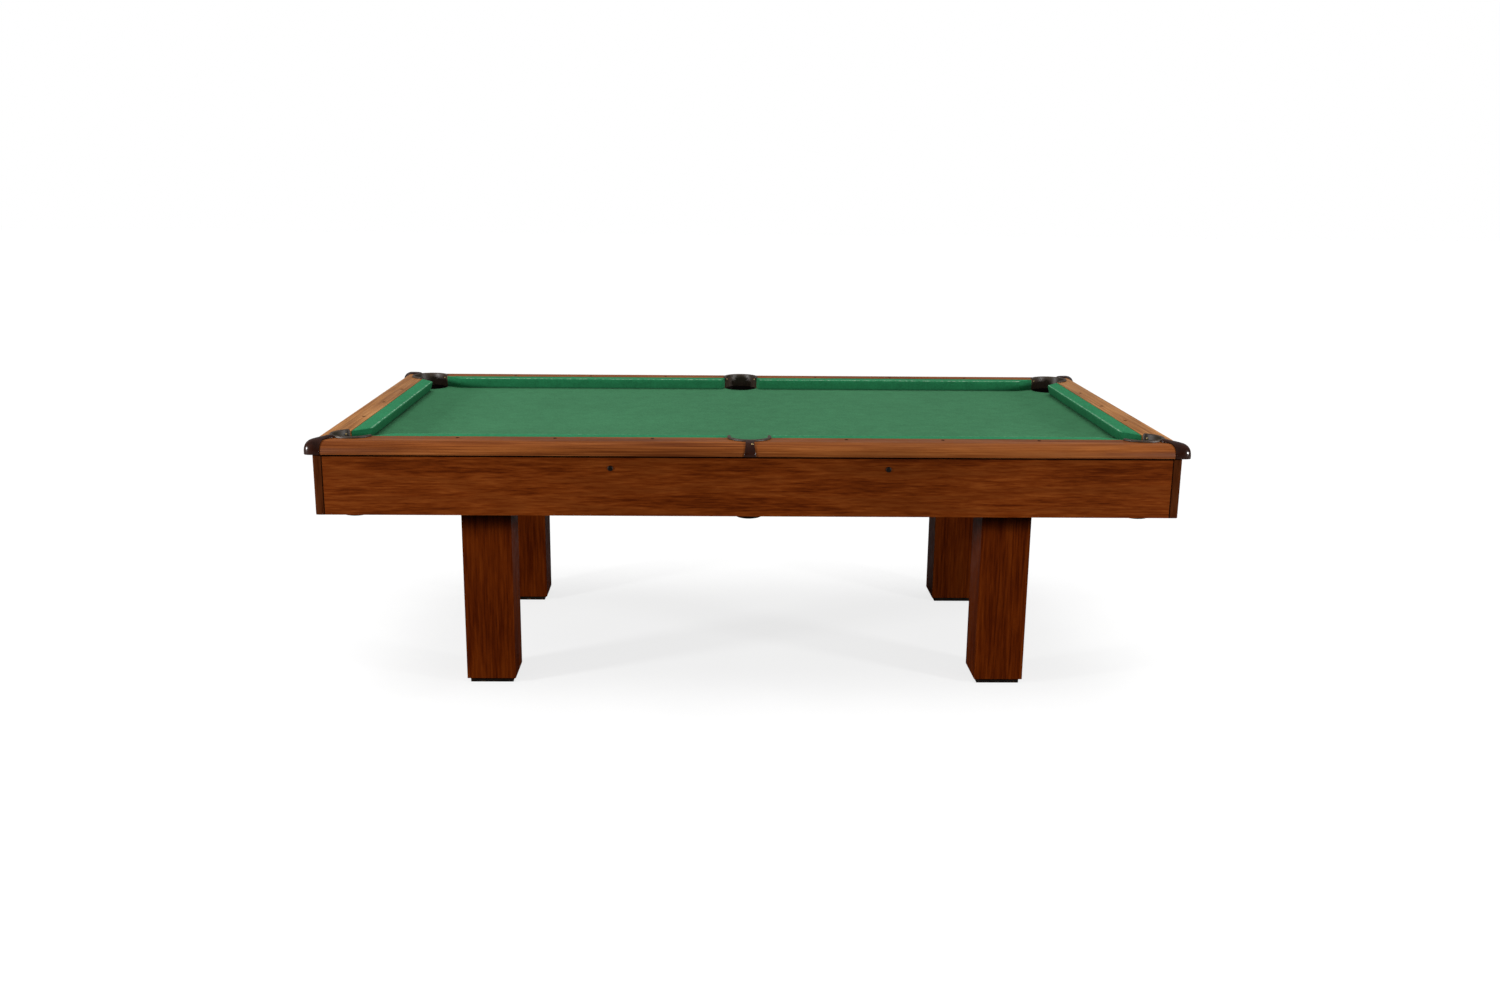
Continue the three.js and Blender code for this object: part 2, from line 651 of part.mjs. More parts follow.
function stemGeometry() {
  const profile = [
    [0, COLLAR_LIFT],
    [COLLAR_RADIUS, COLLAR_LIFT],
    [COLLAR_RADIUS, COLLAR_LIFT + COLLAR_HEIGHT],
    [STEM_RADIUS, COLLAR_LIFT + COLLAR_HEIGHT],
    [STEM_RADIUS, STEM_RISE - 1],
    [STEM_RADIUS - 1, STEM_RISE],
    [0, STEM_RISE],
  ];
  return turnedGeometry(profile, BOLT_STEPS);
}

function buildLegs() {
  for (const [row, y] of [["near", -legY], ["far", legY]]) {
    for (const [name, x] of [["left", -legX], ["right", legX]]) {
      const place = `${row}_${name}`;
      const pieces = [
        addPiece(`leg_${place}`, legGeometry(), walnutLaminate),
        addPiece(`foot_pad_${place}`, padGeometry(), blackFoot),
        addPiece(`foot_stem_${place}`, stemGeometry(), zincSteel),
      ];
      for (const piece of pieces) {
        piece.position.set(x, y, 0);
      }
    }
  }
}

buildSlate();
buildCloth();
buildRails();
buildPockets();
buildCabinet();
buildFrame();
buildBolts();
buildLegs();

export default table;
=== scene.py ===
"""The looks of a home pool table, built round its CAD frame: cloth, cushions, laminate, castings, pockets.

Metres, +Z up, +X along the table, as in the CAD. Near is -Y, far is +Y, left is -X, right is +X.
"""

import json
import math

import bmesh
import bpy
import numpy as np
from mathutils import Matrix, Vector, geometry, noise


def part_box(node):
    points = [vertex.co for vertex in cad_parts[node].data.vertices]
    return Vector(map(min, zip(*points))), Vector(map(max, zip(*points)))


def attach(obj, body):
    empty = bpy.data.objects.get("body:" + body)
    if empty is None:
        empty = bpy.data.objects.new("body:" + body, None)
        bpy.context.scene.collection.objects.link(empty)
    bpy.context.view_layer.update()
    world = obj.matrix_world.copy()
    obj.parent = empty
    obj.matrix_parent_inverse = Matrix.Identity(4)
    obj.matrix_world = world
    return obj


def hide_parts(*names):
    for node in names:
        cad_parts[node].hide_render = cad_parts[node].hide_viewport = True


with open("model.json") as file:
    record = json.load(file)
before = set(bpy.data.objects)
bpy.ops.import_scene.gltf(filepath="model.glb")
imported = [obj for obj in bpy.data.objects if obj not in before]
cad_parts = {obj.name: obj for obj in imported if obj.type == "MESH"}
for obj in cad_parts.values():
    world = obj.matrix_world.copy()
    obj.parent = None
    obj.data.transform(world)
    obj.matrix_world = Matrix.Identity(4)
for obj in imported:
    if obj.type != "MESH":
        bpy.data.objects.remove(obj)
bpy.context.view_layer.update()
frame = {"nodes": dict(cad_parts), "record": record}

# ---- Sizes taken from the frame ----

NOSE_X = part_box("cushion_right_end")[0].x
NOSE_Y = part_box("cushion_far_left")[0].y
BED_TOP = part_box("bed_cloth")[1].z
RAIL_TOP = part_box("rail_far_left")[1].z
RAIL_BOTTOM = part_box("rail_far_left")[0].z
RAIL_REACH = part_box("rail_far_left")[1].y - NOSE_Y
CASTING_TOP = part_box("casting_near_side")[1].z
BUCKET_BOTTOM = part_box("pocket_near_side")[0].z
SLATE_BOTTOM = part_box("slate_centre")[0].z
CUSHION_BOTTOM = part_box("cushion_far_left")[0].z
CUSHION_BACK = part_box("cushion_far_left")[1].y - NOSE_Y

# ---- Sizes repeated from the CAD source ----

GAP = 0.0003
CASTING_THICKNESS = CASTING_TOP - RAIL_TOP - GAP
CUSHION_DEPTH = CUSHION_BACK + GAP
NOSE_HEIGHT = 0.036
CUSHION_UNDERCUT = 0.012
RAIL_ROUND = 0.034
CORNER_TIP = 0.1256 * math.sqrt(0.5)
CORNER_LEAN = math.radians(52)
CORNER_RADIUS = 0.057
SIDE_TIP = 0.070
SIDE_LEAN = math.radians(14)
SIDE_RADIUS = 0.054
LINER_WALL = 0.003
LINER_ROOM = LINER_WALL + 0.0005
FLANGE_WIDTH = 0.007
ROLLED_FLANGE = (0.0098, 0.0058)  # width and height of the flange with its rolled rim
BUCKET_TAPER = 0.006
BUCKET_ROUND = 0.024
NECK_WIDTH = 0.022
BULB_LEG = 0.041
BALL_PROUD = 0.004
TAB_WIDTHS = (0.025, 0.036)
SIGHT_SPACING = NOSE_X / 4
SIGHT_SETBACK = 0.070
CUT_LOW, CUT_HIGH = 0.5, 1.0  # heights below and above everything that is cut to shape


def pocket_centre(name):
    """The middle of a pocket, which is the middle of its opening in the record."""
    openings = frame["record"]["physics"]["openings"]
    opening = next(o for o in openings if o["name"] == f"bucket_{name}")
    low, high = (Vector(corner[:2]) for corner in opening["box_m"])
    return (low + high) / 2


# ---- Camera ----

CAMERA_PLACE = (-0.1159, -4.6537, 1.5484)
CAMERA_YAW = 0.0196
CAMERA_PITCH = -0.2463
CAMERA_ROLL = 0.0089
FOCAL_LENGTH = 0.9463333  # as a share of the sensor's width
SENSOR_WIDTH = 36
CAMERA_SHIFT = (0.0094, 0.0178)


def add_camera():
    data = bpy.data.cameras.new("camera")
    data.sensor_width = SENSOR_WIDTH
    data.lens = FOCAL_LENGTH * SENSOR_WIDTH
    data.shift_x, data.shift_y = CAMERA_SHIFT
    data.clip_end = 100
    camera = bpy.data.objects.new("camera", data)
    upright = Matrix.Rotation(math.pi / 2, 4, "X")
    turn = Matrix.Rotation(-CAMERA_YAW, 4, "Z") @ Matrix.Rotation(CAMERA_PITCH, 4, "X")
    roll = Matrix.Rotation(-CAMERA_ROLL, 4, "Y")
    camera.matrix_world = Matrix.Translation(CAMERA_PLACE) @ turn @ roll @ upright
    bpy.context.scene.collection.objects.link(camera)
    bpy.context.scene.camera = camera


# ---- Nodes ----


def rgb(red, green, blue):
    """A colour given in the usual 0 to 255, as the linear colour that a shader takes."""
    return tuple((c / 255) ** 2.2 for c in (red, green, blue)) + (1.0,)


def add_node(tree, kind, inputs=(), **settings):
    """A node whose inputs are numbers, colours or other nodes' outputs."""
    node = tree.nodes.new("ShaderNode" + kind)
    for key, value in settings.items():
        setattr(node, key, value)
    for key, value in dict(inputs).items():
        if isinstance(value, bpy.types.NodeSocket):
            tree.links.new(value, node.inputs[key])
        else:
            node.inputs[key].default_value = value
    return node


def coordinates(tree, scale=(1, 1, 1)):
    """Places on the piece in the table's own frame, stretched along an axis where scale is small."""
    place = add_node(tree, "TexCoord").outputs["Object"]
    return add_node(tree, "Mapping", {"Vector": place, "Scale": scale}).outputs["Vector"]


def noise_of(tree, vector, scale, detail=3, roughness=0.5, distortion=0):
    inputs = {"Vector": vector, "Scale": scale, "Detail": detail}
    inputs |= {"Roughness": roughness, "Distortion": distortion}
    return add_node(tree, "TexNoise", inputs).outputs["Fac"]


def maths(tree, operation, first, second=0.0, third=0.0):
    return add_node(tree, "Math", {0: first, 1: second, 2: third}, operation=operation).outputs[0]


def split(tree, vector):
    """The X, Y and Z of a vector."""
    return add_node(tree, "SeparateXYZ", {"Vector": vector}).outputs


def map_range(tree, value, start, end, low, high):
    """Goes from low to high while a value goes from start to end, and stays there beyond them."""
    inputs = {"Value": value, 1: start, 2: end, 3: low, 4: high}
    return add_node(tree, "MapRange", inputs).outputs[0]


def ramp(tree, factor, *stops):
    """Colours or greys between stops, each a place from 0 to 1 and a colour or a grey."""
    node = add_node(tree, "ValToRGB", {"Fac": factor})
    elements = node.color_ramp.elements
    while len(elements) < len(stops):
        elements.new(0.5)
    for element, (place, colour) in zip(elements, stops):
        element.position = place
        element.color = colour if isinstance(colour, tuple) else (colour, colour, colour, 1)
    return node.outputs["Color"]


def mix(tree, factor, first, second, blend="MIX"):
    inputs = {0: factor, 6: first, 7: second}
    node = add_node(tree, "Mix", inputs, data_type="RGBA", blend_type=blend)
    return node.outputs[2]


def bump(tree, height, distance):
    return add_node(tree, "Bump", {"Height": height, "Distance": distance}).outputs["Normal"]


def new_material(name, **shader_inputs):
    """A material and its tree. Names of shader inputs have _ for a space."""
    material = bpy.data.materials.new(name)
    material.use_nodes = True
    tree = material.node_tree
    shader = tree.nodes["Principled BSDF"]
    for key, value in shader_inputs.items():
        shader.inputs[key.replace("_", " ")].default_value = value
    return material, tree, shader


def connect(tree, shader, **outputs):
    for key, output in outputs.items():
        tree.links.new(output, shader.inputs[key.replace("_", " ")])


def specks(tree, vector, scale, size, share):
    """1 in small dots, one in each cell of the share of cells that has one."""
    cells = add_node(tree, "TexVoronoi", {"Vector": vector, "Scale": scale})
    near = maths(tree, "LESS_THAN", cells.outputs["Distance"], size)
    pick = add_node(tree, "SeparateColor", {"Color": cells.outputs["Color"]}).outputs[0]
    return maths(tree, "MULTIPLY", near, maths(tree, "LESS_THAN", pick, share))


# ---- Materials ----


def laminate(
    name, grain, colours, streak=(130, 10), figure=4.0, gloss=0.5, specular=0.02, painted_shade_top=None
):
    """Printed walnut laminate with its grain along one axis: cathedral figure, fibres, pores, nicks.

    streak is how many streaks fit in a metre across and along the grain, and figure how many
    rings the cathedral figure has. painted_shade_top is painted shade: it darkens the laminate close below
    the piece above, where that piece's shadow falls. It gives the heights where that starts and is
    full, and how dark it is.
    """
    dark, middle, light = colours
    across, along = streak
    material, tree, shader = new_material(name, IOR=1.48, Specular_IOR_Level=specular)

    def stretched(cross, lengthwise):
        scale = [cross] * 3
        scale[grain] = lengthwise
        return coordinates(tree, tuple(scale))

    field = noise_of(tree, stretched(9, 0.9), 1.0, 2, 0.45, 0.15)
    rings = maths(tree, "SINE", maths(tree, "MULTIPLY", field, figure * 2 * math.pi))
    rings = maths(tree, "MULTIPLY_ADD", rings, 0.5, 0.5)
    fibres = noise_of(tree, stretched(3 * across, 3 * along), 1.0, 3, 0.6)
    streaks = noise_of(tree, stretched(across, along), 1.0, 3, 0.55)
    grain_mix = maths(tree, "MULTIPLY_ADD", rings, 0.12, maths(tree, "MULTIPLY", fibres, 0.3))
    grain_mix = maths(tree, "MULTIPLY_ADD", streaks, 0.58, grain_mix)
    wood = ramp(tree, grain_mix, (0.36, dark), (0.5, middle), (0.64, light))
    veins = maths(tree, "MULTIPLY", ramp(tree, rings, (0.86, 0.0), (0.98, 0.5)), streaks)
    wood = mix(tree, veins, wood, dark)
    pores = noise_of(tree, stretched(620, 26), 1.0, 2, 0.5)
    pore_mask = ramp(tree, pores, (0.33, 0.0), (0.42, 1.0))
    wood = mix(tree, 0.3, wood, mix(tree, pore_mask, dark, wood))
    shade = ramp(tree, noise_of(tree, coordinates(tree), 2.3, 3), (0.3, 0.9), (0.7, 1.08))
    wood = mix(tree, 1.0, wood, shade, "MULTIPLY")
    nicks = specks(tree, stretched(1.0, 1.6), 7.0, 0.011, 0.22)
    wood = mix(tree, maths(tree, "MULTIPLY", nicks, 0.8), wood, rgb(205, 180, 155))
    # Painted shade: the laminate darkens close below the piece above, where that piece's shadow falls.
    if painted_shade_top:
        start, full, amount = painted_shade_top
        height = split(tree, coordinates(tree))[2]
        wood = mix(tree, map_range(tree, height, start, full, 0.0, amount), wood, rgb(8, 4, 2))
    handling = noise_of(tree, coordinates(tree), 22, 4, 0.65)
    rough = ramp(tree, handling, (0.3, gloss - 0.05), (0.7, gloss + 0.1))
    connect(tree, shader, Base_Color=wood, Roughness=rough, Normal=bump(tree, fibres, 0.0001))
    return material


def cloth_material(name, colour, pale_marks=None):
    """Napped green billiard cloth: fuzz, mottling, lint, and pale marks where a mask says."""
    material, tree, shader = new_material(
        name, Roughness=0.95, Specular_IOR_Level=0.05, Sheen_Weight=0.06, Sheen_Roughness=0.5
    )
    shader.inputs["Sheen Tint"].default_value = rgb(150, 215, 175)
    place = coordinates(tree)
    fuzz = noise_of(tree, place, 160, 4, 0.75)
    mottle = noise_of(tree, place, 26, 4, 0.6)
    broad = noise_of(tree, place, 2.0, 2)
    tone = maths(tree, "MULTIPLY_ADD", fuzz, 0.6, maths(tree, "MULTIPLY", mottle, 0.25))
    tone = maths(tree, "MULTIPLY_ADD", broad, 0.15, tone)
    value = ramp(tree, tone, (0.36, 0.76), (0.64, 1.24))
    base = mix(tree, 1.0, colour, value, "MULTIPLY")
    lint = specks(tree, place, 24, 0.026, 0.3)
    base = mix(tree, maths(tree, "MULTIPLY", lint, 0.22), base, rgb(175, 205, 180))
    # The mask's pale marks: a broken dotted line along the top edge of the cushion noses.
    if pale_marks:
        base = mix(tree, pale_marks(tree, place), base, rgb(165, 190, 170))
    weave = noise_of(tree, coordinates(tree, (1300, 1300, 1300)), 1.0, 2, 0.6)
    connect(tree, shader, Base_Color=base, Normal=bump(tree, weave, 0.00025))
    return material


PALE_DOTS_SETBACK = 0.003  # behind the nose
PALE_DOTS_HALF_WIDTH = 0.0024
PALE_DOTS_DEPTH = 0.0012


def nose_pale_dots(tree, place):
    """A pale broken dotted line along the top edge of the cushion noses."""
    parts = split(tree, place)
    away = []
    for axis, nose in ((0, NOSE_X), (1, NOSE_Y)):
        line = nose + PALE_DOTS_SETBACK
        past_line = maths(tree, "SUBTRACT", maths(tree, "ABSOLUTE", parts[axis]), line)
        away.append(maths(tree, "ABSOLUTE", past_line))
    near = maths(tree, "LESS_THAN", maths(tree, "MINIMUM", *away), PALE_DOTS_HALF_WIDTH)
    on_top = maths(tree, "GREATER_THAN", parts[2], BED_TOP + NOSE_HEIGHT - PALE_DOTS_DEPTH)
    dots = ramp(tree, noise_of(tree, place, 90, 2, 0.8), (0.46, 0.06), (0.66, 0.6))
    return maths(tree, "MULTIPLY", maths(tree, "MULTIPLY", near, on_top), dots)


def plastic(name, colour, gloss, texture, specular=0.3):
    """Moulded plastic with a fine grain and scuffs."""
    material, tree, shader = new_material(name, IOR=1.5, Specular_IOR_Level=specular)
    place = coordinates(tree)
    scuff = noise_of(tree, place, 45, 5, 0.7, 0.6)
    tint = ramp(tree, scuff, (0.35, 0.8), (0.75, 1.5))
    fine = noise_of(tree, place, 800, 2)
    rough = ramp(tree, scuff, (0.3, gloss), (0.75, gloss + 0.2))
    connect(tree, shader, Base_Color=mix(tree, 1.0, colour, tint, "MULTIPLY"), Roughness=rough)
    connect(tree, shader, Normal=bump(tree, fine, texture))
    return material


ORANGE_PEEL = 0.00004


def lacquer(name, colour, gloss):
    """A glossy painted casting: faint mottling under a clear coat, dulled by handling."""
    material, tree, shader = new_material(name, IOR=1.5, Specular_IOR_Level=0.32)
    place = coordinates(tree)
    blotch = noise_of(tree, place, 30, 4, 0.65)
    tint = mix(tree, 1.0, colour, ramp(tree, blotch, (0.3, 0.7), (0.72, 1.5)), "MULTIPLY")
    wear = ramp(tree, noise_of(tree, place, 70, 4, 0.8), (0.62, 0.0), (0.8, 0.35))
    rough = ramp(tree, blotch, (0.3, gloss), (0.8, gloss + 0.16))
    connect(tree, shader, Base_Color=mix(tree, wear, tint, rgb(96, 66, 44)), Roughness=rough)
    connect(tree, shader, Normal=bump(tree, noise_of(tree, place, 160, 2), ORANGE_PEEL))
    return material


JOINT_WIDTH = 0.003


def post_material(name):
    """Dark brown corner post, with the shadowed joint where each face meets an apron."""
    material, tree, shader = new_material(name, IOR=1.48, Specular_IOR_Level=0.01)
    low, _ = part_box("corner_post_far_right")
    parts = split(tree, coordinates(tree))
    inner = [
        maths(tree, "LESS_THAN", maths(tree, "ABSOLUTE", parts[axis]), low[axis] + JOINT_WIDTH)
        for axis in (0, 1)
    ]
    joint = maths(tree, "MAXIMUM", *inner)
    place = coordinates(tree, (140, 140, 14))
    streaks = noise_of(tree, place, 1.0, 4, 0.6)
    brown = ramp(tree, streaks, (0.32, rgb(58, 28, 13)), (0.68, rgb(78, 42, 22)))
    rough = ramp(tree, noise_of(tree, coordinates(tree), 30, 4), (0.3, 0.5), (0.7, 0.65))
    colour = mix(tree, maths(tree, "MULTIPLY", joint, 0.85), brown, rgb(10, 5, 3))
    connect(tree, shader, Base_Color=colour, Roughness=rough)
    connect(tree, shader, Normal=bump(tree, streaks, 0.0001))
    return material


def metal(name, colour, gloss):
    """Plated steel or brass with faint tarnish and fine scratches."""
    material, tree, shader = new_material(name, Metallic=0.9)
    place = coordinates(tree)
    tarnish = noise_of(tree, place, 120, 5, 0.7)
    scratches = noise_of(tree, coordinates(tree, (900, 60, 60)), 1.0, 2)
    colour = mix(tree, 1.0, colour, ramp(tree, tarnish, (0.3, 0.7), (0.7, 1.1)), "MULTIPLY")
    rough = ramp(tree, tarnish, (0.3, gloss), (0.75, gloss + 0.25))
    connect(tree, shader, Base_Color=colour, Roughness=rough, Normal=bump(tree, scratches, 0.00003))
    return material


def stone(name):
    """Honed slate: grey with cleavage streaks and pale sawdust."""
    material, tree, shader = new_material(name, Roughness=0.8)
    beds = noise_of(tree, coordinates(tree, (3, 3, 60)), 1.0, 5, 0.65, 0.4)
    dark, middle, light = rgb(62, 66, 72), rgb(88, 92, 98), rgb(126, 128, 130)
    colour = ramp(tree, beds, (0.3, dark), (0.55, middle), (0.8, light))
    grit = noise_of(tree, coordinates(tree), 420, 3, 0.7)
    connect(tree, shader, Base_Color=colour, Normal=bump(tree, grit, 0.0003))
    return material


def timber(name, grain):
    """Sawn softwood with growth rings and knots, for the frame below the slate."""
    material, tree, shader = new_material(name, Roughness=0.75, Specular_IOR_Level=0.25)
    scale = [22.0] * 3
    scale[grain] = 1.2
    rings = noise_of(tree, coordinates(tree, tuple(scale)), 1.0, 4, 0.6, 0.8)
    dark, middle, light = rgb(138, 98, 58), rgb(186, 146, 98), rgb(208, 174, 126)
    colour = ramp(tree, rings, (0.3, dark), (0.52, middle), (0.75, light))
    knots = specks(tree, coordinates(tree), 3.2, 0.04, 0.3)
    colour = mix(tree, maths(tree, "MULTIPLY", knots, 0.8), colour, rgb(74, 42, 22))
    scale[grain] = 9.0
    saw = noise_of(tree, coordinates(tree, tuple(8 * s for s in scale)), 1.0, 3, 0.6)
    connect(tree, shader, Base_Color=colour, Normal=bump(tree, saw, 0.0004))
    return material


def foot_material(name):
    """Black paint on a wooden block, worn through to tan wood along its rim."""
    material, tree, shader = new_material(name, Roughness=0.6, Specular_IOR_Level=0.12)
    low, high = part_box("foot_pad_near_left")
    half = (high.x - low.x) / 2
    place = coordinates(tree)
    parts = split(tree, place)
    edges = []
    for axis in (0, 1):
        middle = abs(low[axis] + high[axis]) / 2
        offset = maths(tree, "SUBTRACT", maths(tree, "ABSOLUTE", parts[axis]), middle)
        edges.append(maths(tree, "ABSOLUTE", offset))
    outward = maths(tree, "MULTIPLY_ADD", parts[2], -0.15, maths(tree, "MAXIMUM", *edges))
    ragged = maths(tree, "MULTIPLY_ADD", noise_of(tree, place, 34, 5, 0.75), 0.012, outward)
    past_edge = maths(tree, "SUBTRACT", ragged, half)
    worn = map_range(tree, past_edge, 0.0066, 0.0076, 0.0, 0.8)
    fibres = noise_of(tree, coordinates(tree, (90, 90, 300)), 1.0, 3)
    tan = ramp(tree, fibres, (0.3, rgb(120, 82, 48)), (0.7, rgb(178, 136, 90)))
    brushed = noise_of(tree, place, 60, 4)
    paint = ramp(tree, brushed, (0.3, rgb(14, 11, 9)), (0.7, rgb(34, 27, 22)))
    connect(tree, shader, Base_Color=mix(tree, worn, paint, tan))
    connect(tree, shader, Normal=bump(tree, noise_of(tree, place, 260, 3), 0.0003))
    return material


# Laminate colours are its dark, middle and light wood.
RAIL_COLOURS = (rgb(84, 42, 18), rgb(117, 65, 31), rgb(140, 84, 44))
# Painted light: the end rails get a lighter copy of the rail laminate, for the stronger light that falls on
# them.
END_RAIL_LIT_COLOURS = (rgb(120, 76, 42), rgb(156, 106, 64), rgb(176, 128, 82))
CABINET_COLOURS = (rgb(74, 31, 10), rgb(101, 47, 17), rgb(120, 62, 26))
LEG_COLOURS = (rgb(66, 25, 5), rgb(88, 37, 9), rgb(104, 48, 15))
APRON_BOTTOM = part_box("apron_near")[0].z
# Painted shade: a dark band on the aprons just under the rails, and dark tops on the legs just under the
# aprons, in place of the shadows of the rails and the cabinet.
APRON_PAINTED_SHADE = (RAIL_BOTTOM - 0.009, RAIL_BOTTOM - 0.007, 0.85)
LEG_PAINTED_SHADE = (APRON_BOTTOM - 0.09, APRON_BOTTOM - 0.04, 0.85)

RAIL_LOOK = {"streak": (200, 2.6), "figure": 3, "gloss": 0.42, "specular": 0.08}
rail_long = laminate("rail_laminate_long", 0, RAIL_COLOURS, **RAIL_LOOK)
# The end rails' lighter laminate is painted light.
rail_end_lit = laminate("rail_laminate_end_lit", 1, END_RAIL_LIT_COLOURS, **RAIL_LOOK)
apron_long = laminate("cabinet_laminate_long", 0, CABINET_COLOURS, painted_shade_top=APRON_PAINTED_SHADE)
apron_end = laminate("cabinet_laminate_end", 1, CABINET_COLOURS, painted_shade_top=APRON_PAINTED_SHADE)
leg_laminate = laminate("cabinet_laminate_leg", 2, LEG_COLOURS, (150, 7), painted_shade_top=LEG_PAINTED_SHADE)
bed_cloth = cloth_material("bed_cloth", rgb(57, 104, 73))
cushion_cloth = cloth_material("cushion_cloth", rgb(41, 109, 73), nose_pale_dots)
flange_plastic = plastic("flange_plastic", rgb(58, 48, 40), 0.36, 0.00006, 0.5)
liner_plastic = plastic("liner_plastic", rgb(16, 11, 10), 0.5, 0.00012, 0.12)
sight_plastic = plastic("sight_plastic", rgb(22, 12, 8), 0.55, 0.00002, 0.05)
casting_lacquer = lacquer("casting_lacquer", rgb(40, 20, 12), 0.16)
post_veneer = post_material("post_veneer")
brass = metal("brass", rgb(226, 200, 142), 0.35)
black_steel = metal("black_steel", rgb(40, 36, 34), 0.4)
zinc_steel = metal("zinc_steel", rgb(168, 168, 164), 0.35)
slate_stone = stone("slate_stone")
beam_long = timber("frame_timber_long", 0)
beam_cross = timber("frame_timber_cross", 1)
foot_paint = foot_material("foot_paint")


# ---- Mesh making ----


def skin(rings, closed=False):
    """A closed skin through rings of points, with flat ends unless the last ring meets the first."""
    bm = bmesh.new()
    rows = [[bm.verts.new(point) for point in ring] for ring in rings]
    following = rows[1:] + rows[:1] if closed else rows[1:]
    for first, second in zip(rows, following):
        for i, vertex in enumerate(first):
            j = (i + 1) % len(first)
            bm.faces.new((vertex, first[j], second[j], second[i]))
    if not closed:
        bm.faces.new(rows[0])
        bm.faces.new(rows[-1])
    return tidied(bm)


def sheet_of(lines):
    """An open skin through lines of points."""
    bm = bmesh.new()
    rows = [[bm.verts.new(point) for point in line] for line in lines]
    for first, second in zip(rows, rows[1:]):
        for i in range(len(first) - 1):
            bm.faces.new((first[i], first[i + 1], second[i + 1], second[i]))
    return bm


def facing_up(bm):
    """An open skin with its outside towards +Z."""
    bmesh.ops.recalc_face_normals(bm, faces=bm.faces)
    if sum(f.normal.z for f in bm.faces) < 0:
        bmesh.ops.reverse_faces(bm, faces=bm.faces)
    return bm


def tidied(bm):
    bmesh.ops.remove_doubles(bm, verts=bm.verts, dist=1e-6)
    bmesh.ops.dissolve_degenerate(bm, dist=1e-7, edges=bm.edges)
    bmesh.ops.recalc_face_normals(bm, faces=bm.faces)
    return bm


def revolved(profile, steps=72):
    """A (radius, height) profile turned about the vertical axis."""
    angles = [2 * math.pi * i / steps for i in range(steps)]
    columns = [[(r * math.cos(a), r * math.sin(a), z) for r, z in profile] for a in angles]
    return skin(columns, closed=True)


def prism(outline, bottom, top):
    return skin([[(x, y, bottom) for x, y in outline], [(x, y, top) for x, y in outline]])


def arc(centre, radius, start, end, steps):
    """Points of an arc between two directions in degrees."""
    angles = [math.radians(start + (end - start) * i / steps) for i in range(steps + 1)]
    return [(centre[0] + radius * math.cos(a), centre[1] + radius * math.sin(a)) for a in angles]


def placed(bm, matrix):
    bm.transform(matrix)
    return bm


def turned(degrees, x=0, y=0, z=0):
    return Matrix.Translation((x, y, z)) @ Matrix.Rotation(math.radians(degrees), 4, "Z")


def object_of(bm, name="part"):
    mesh = bpy.data.meshes.new(name)
    bm.to_mesh(mesh)
    bm.free()
    piece = bpy.data.objects.new(name, mesh)
    bpy.context.scene.collection.objects.link(piece)
    return piece


def boolean(bm, other, operation):
    """The difference or intersection of two closed skins."""
    first, second = object_of(bm), object_of(other)
    modifier = first.modifiers.new("cut", "BOOLEAN")
    modifier.object = second
    modifier.operation = operation
    modifier.solver = "EXACT"
    evaluated = first.evaluated_get(bpy.context.evaluated_depsgraph_get())
    result = bmesh.new()
    result.from_mesh(evaluated.to_mesh())
    evaluated.to_mesh_clear()
    for part in (first, second):
        mesh = part.data
        bpy.data.objects.remove(part)
        bpy.data.meshes.remove(mesh)
    return tidied(result)


def soften(bm, width):
    """Rounds every sharp edge."""
    limit = math.radians(35)
    sharp = [e for e in bm.edges if len(e.link_faces) == 2 and e.calc_face_angle(0) > limit]
    bmesh.ops.bevel(
        bm, geom=sharp, offset=width, offset_type="OFFSET", segments=2,
        profile=0.5, affect="EDGES", clamp_overlap=True,
    )
    return bm


def add_piece(name, bm, material, replaces=(), sharp=38):
    """A piece fixed to the table, smooth where its faces meet at less than an angle in degrees."""
    piece = object_of(bm, name)
    piece.data.shade_smooth()
    piece.data.set_sharp_from_angle(angle=math.radians(sharp))
    piece.data.materials.append(material)
    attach(piece, "table")
    if replaces:
        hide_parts(*replaces)
    return piece


# ---- The six sides: rails and cushions ----

# A side is made facing +Y and then turned. Here are its turn, half its length, half the table's
# width across it, and the pockets at its left and right end. Long rails meet at a side pocket.
SIDES = {
    "near_right": (180, NOSE_X, NOSE_Y, "corner", "side"),
    "near_left": (180, NOSE_X, NOSE_Y, "side", "corner"),
    "far_left": (0, NOSE_X, NOSE_Y, "corner", "side"),
    "far_right": (0, NOSE_X, NOSE_Y, "side", "corner"),
    "left_end": (90, NOSE_Y, NOSE_X, "corner", "corner"),
    "right_end": (-90, NOSE_Y, NOSE_X, "corner", "corner"),
}
POCKETS = {
    "near_left": 180,
    "near_right": -90,
    "far_right": 0,
    "far_left": 90,
    "near_side": 180,
    "far_side": 0,
}
CORNER_SETBACK = pocket_centre("far_right").x - NOSE_X
SIDE_SETBACK = pocket_centre("far_side").y - NOSE_Y


NOSE_ROUND = 0.0022
TOP_CROWN = 0.0004


def cushion_section():
    """(depth, height) points round a cushion: base, leaning face, round nose, crowned top, tuck."""
    nose = BED_TOP + NOSE_HEIGHT
    base = CUSHION_BOTTOM
    face = [
        (CUSHION_UNDERCUT * (1 - t) ** 1.25, base + (nose - 0.004 - base) * t)
        for t in np.linspace(0.06, 1, 7)
    ]
    tip = arc((NOSE_ROUND, nose - 0.0024), NOSE_ROUND, 180, 97, 5)
    back = CUSHION_BACK
    across = back - NOSE_ROUND - 0.002
    rise = RAIL_TOP - GAP - nose
    top = [
        (NOSE_ROUND + across * t, nose + rise * t + TOP_CROWN * math.sin(math.pi * t))
        for t in np.linspace(0.05, 1, 9)
    ]
    tuck = [(back - 0.0006, RAIL_TOP - 0.0016), (back, RAIL_TOP - 0.006)]
    foot = [(back, base + 0.001), (back - 0.001, base), (CUSHION_UNDERCUT + 0.001, base)]
    return face + tip + top + tuck + foot


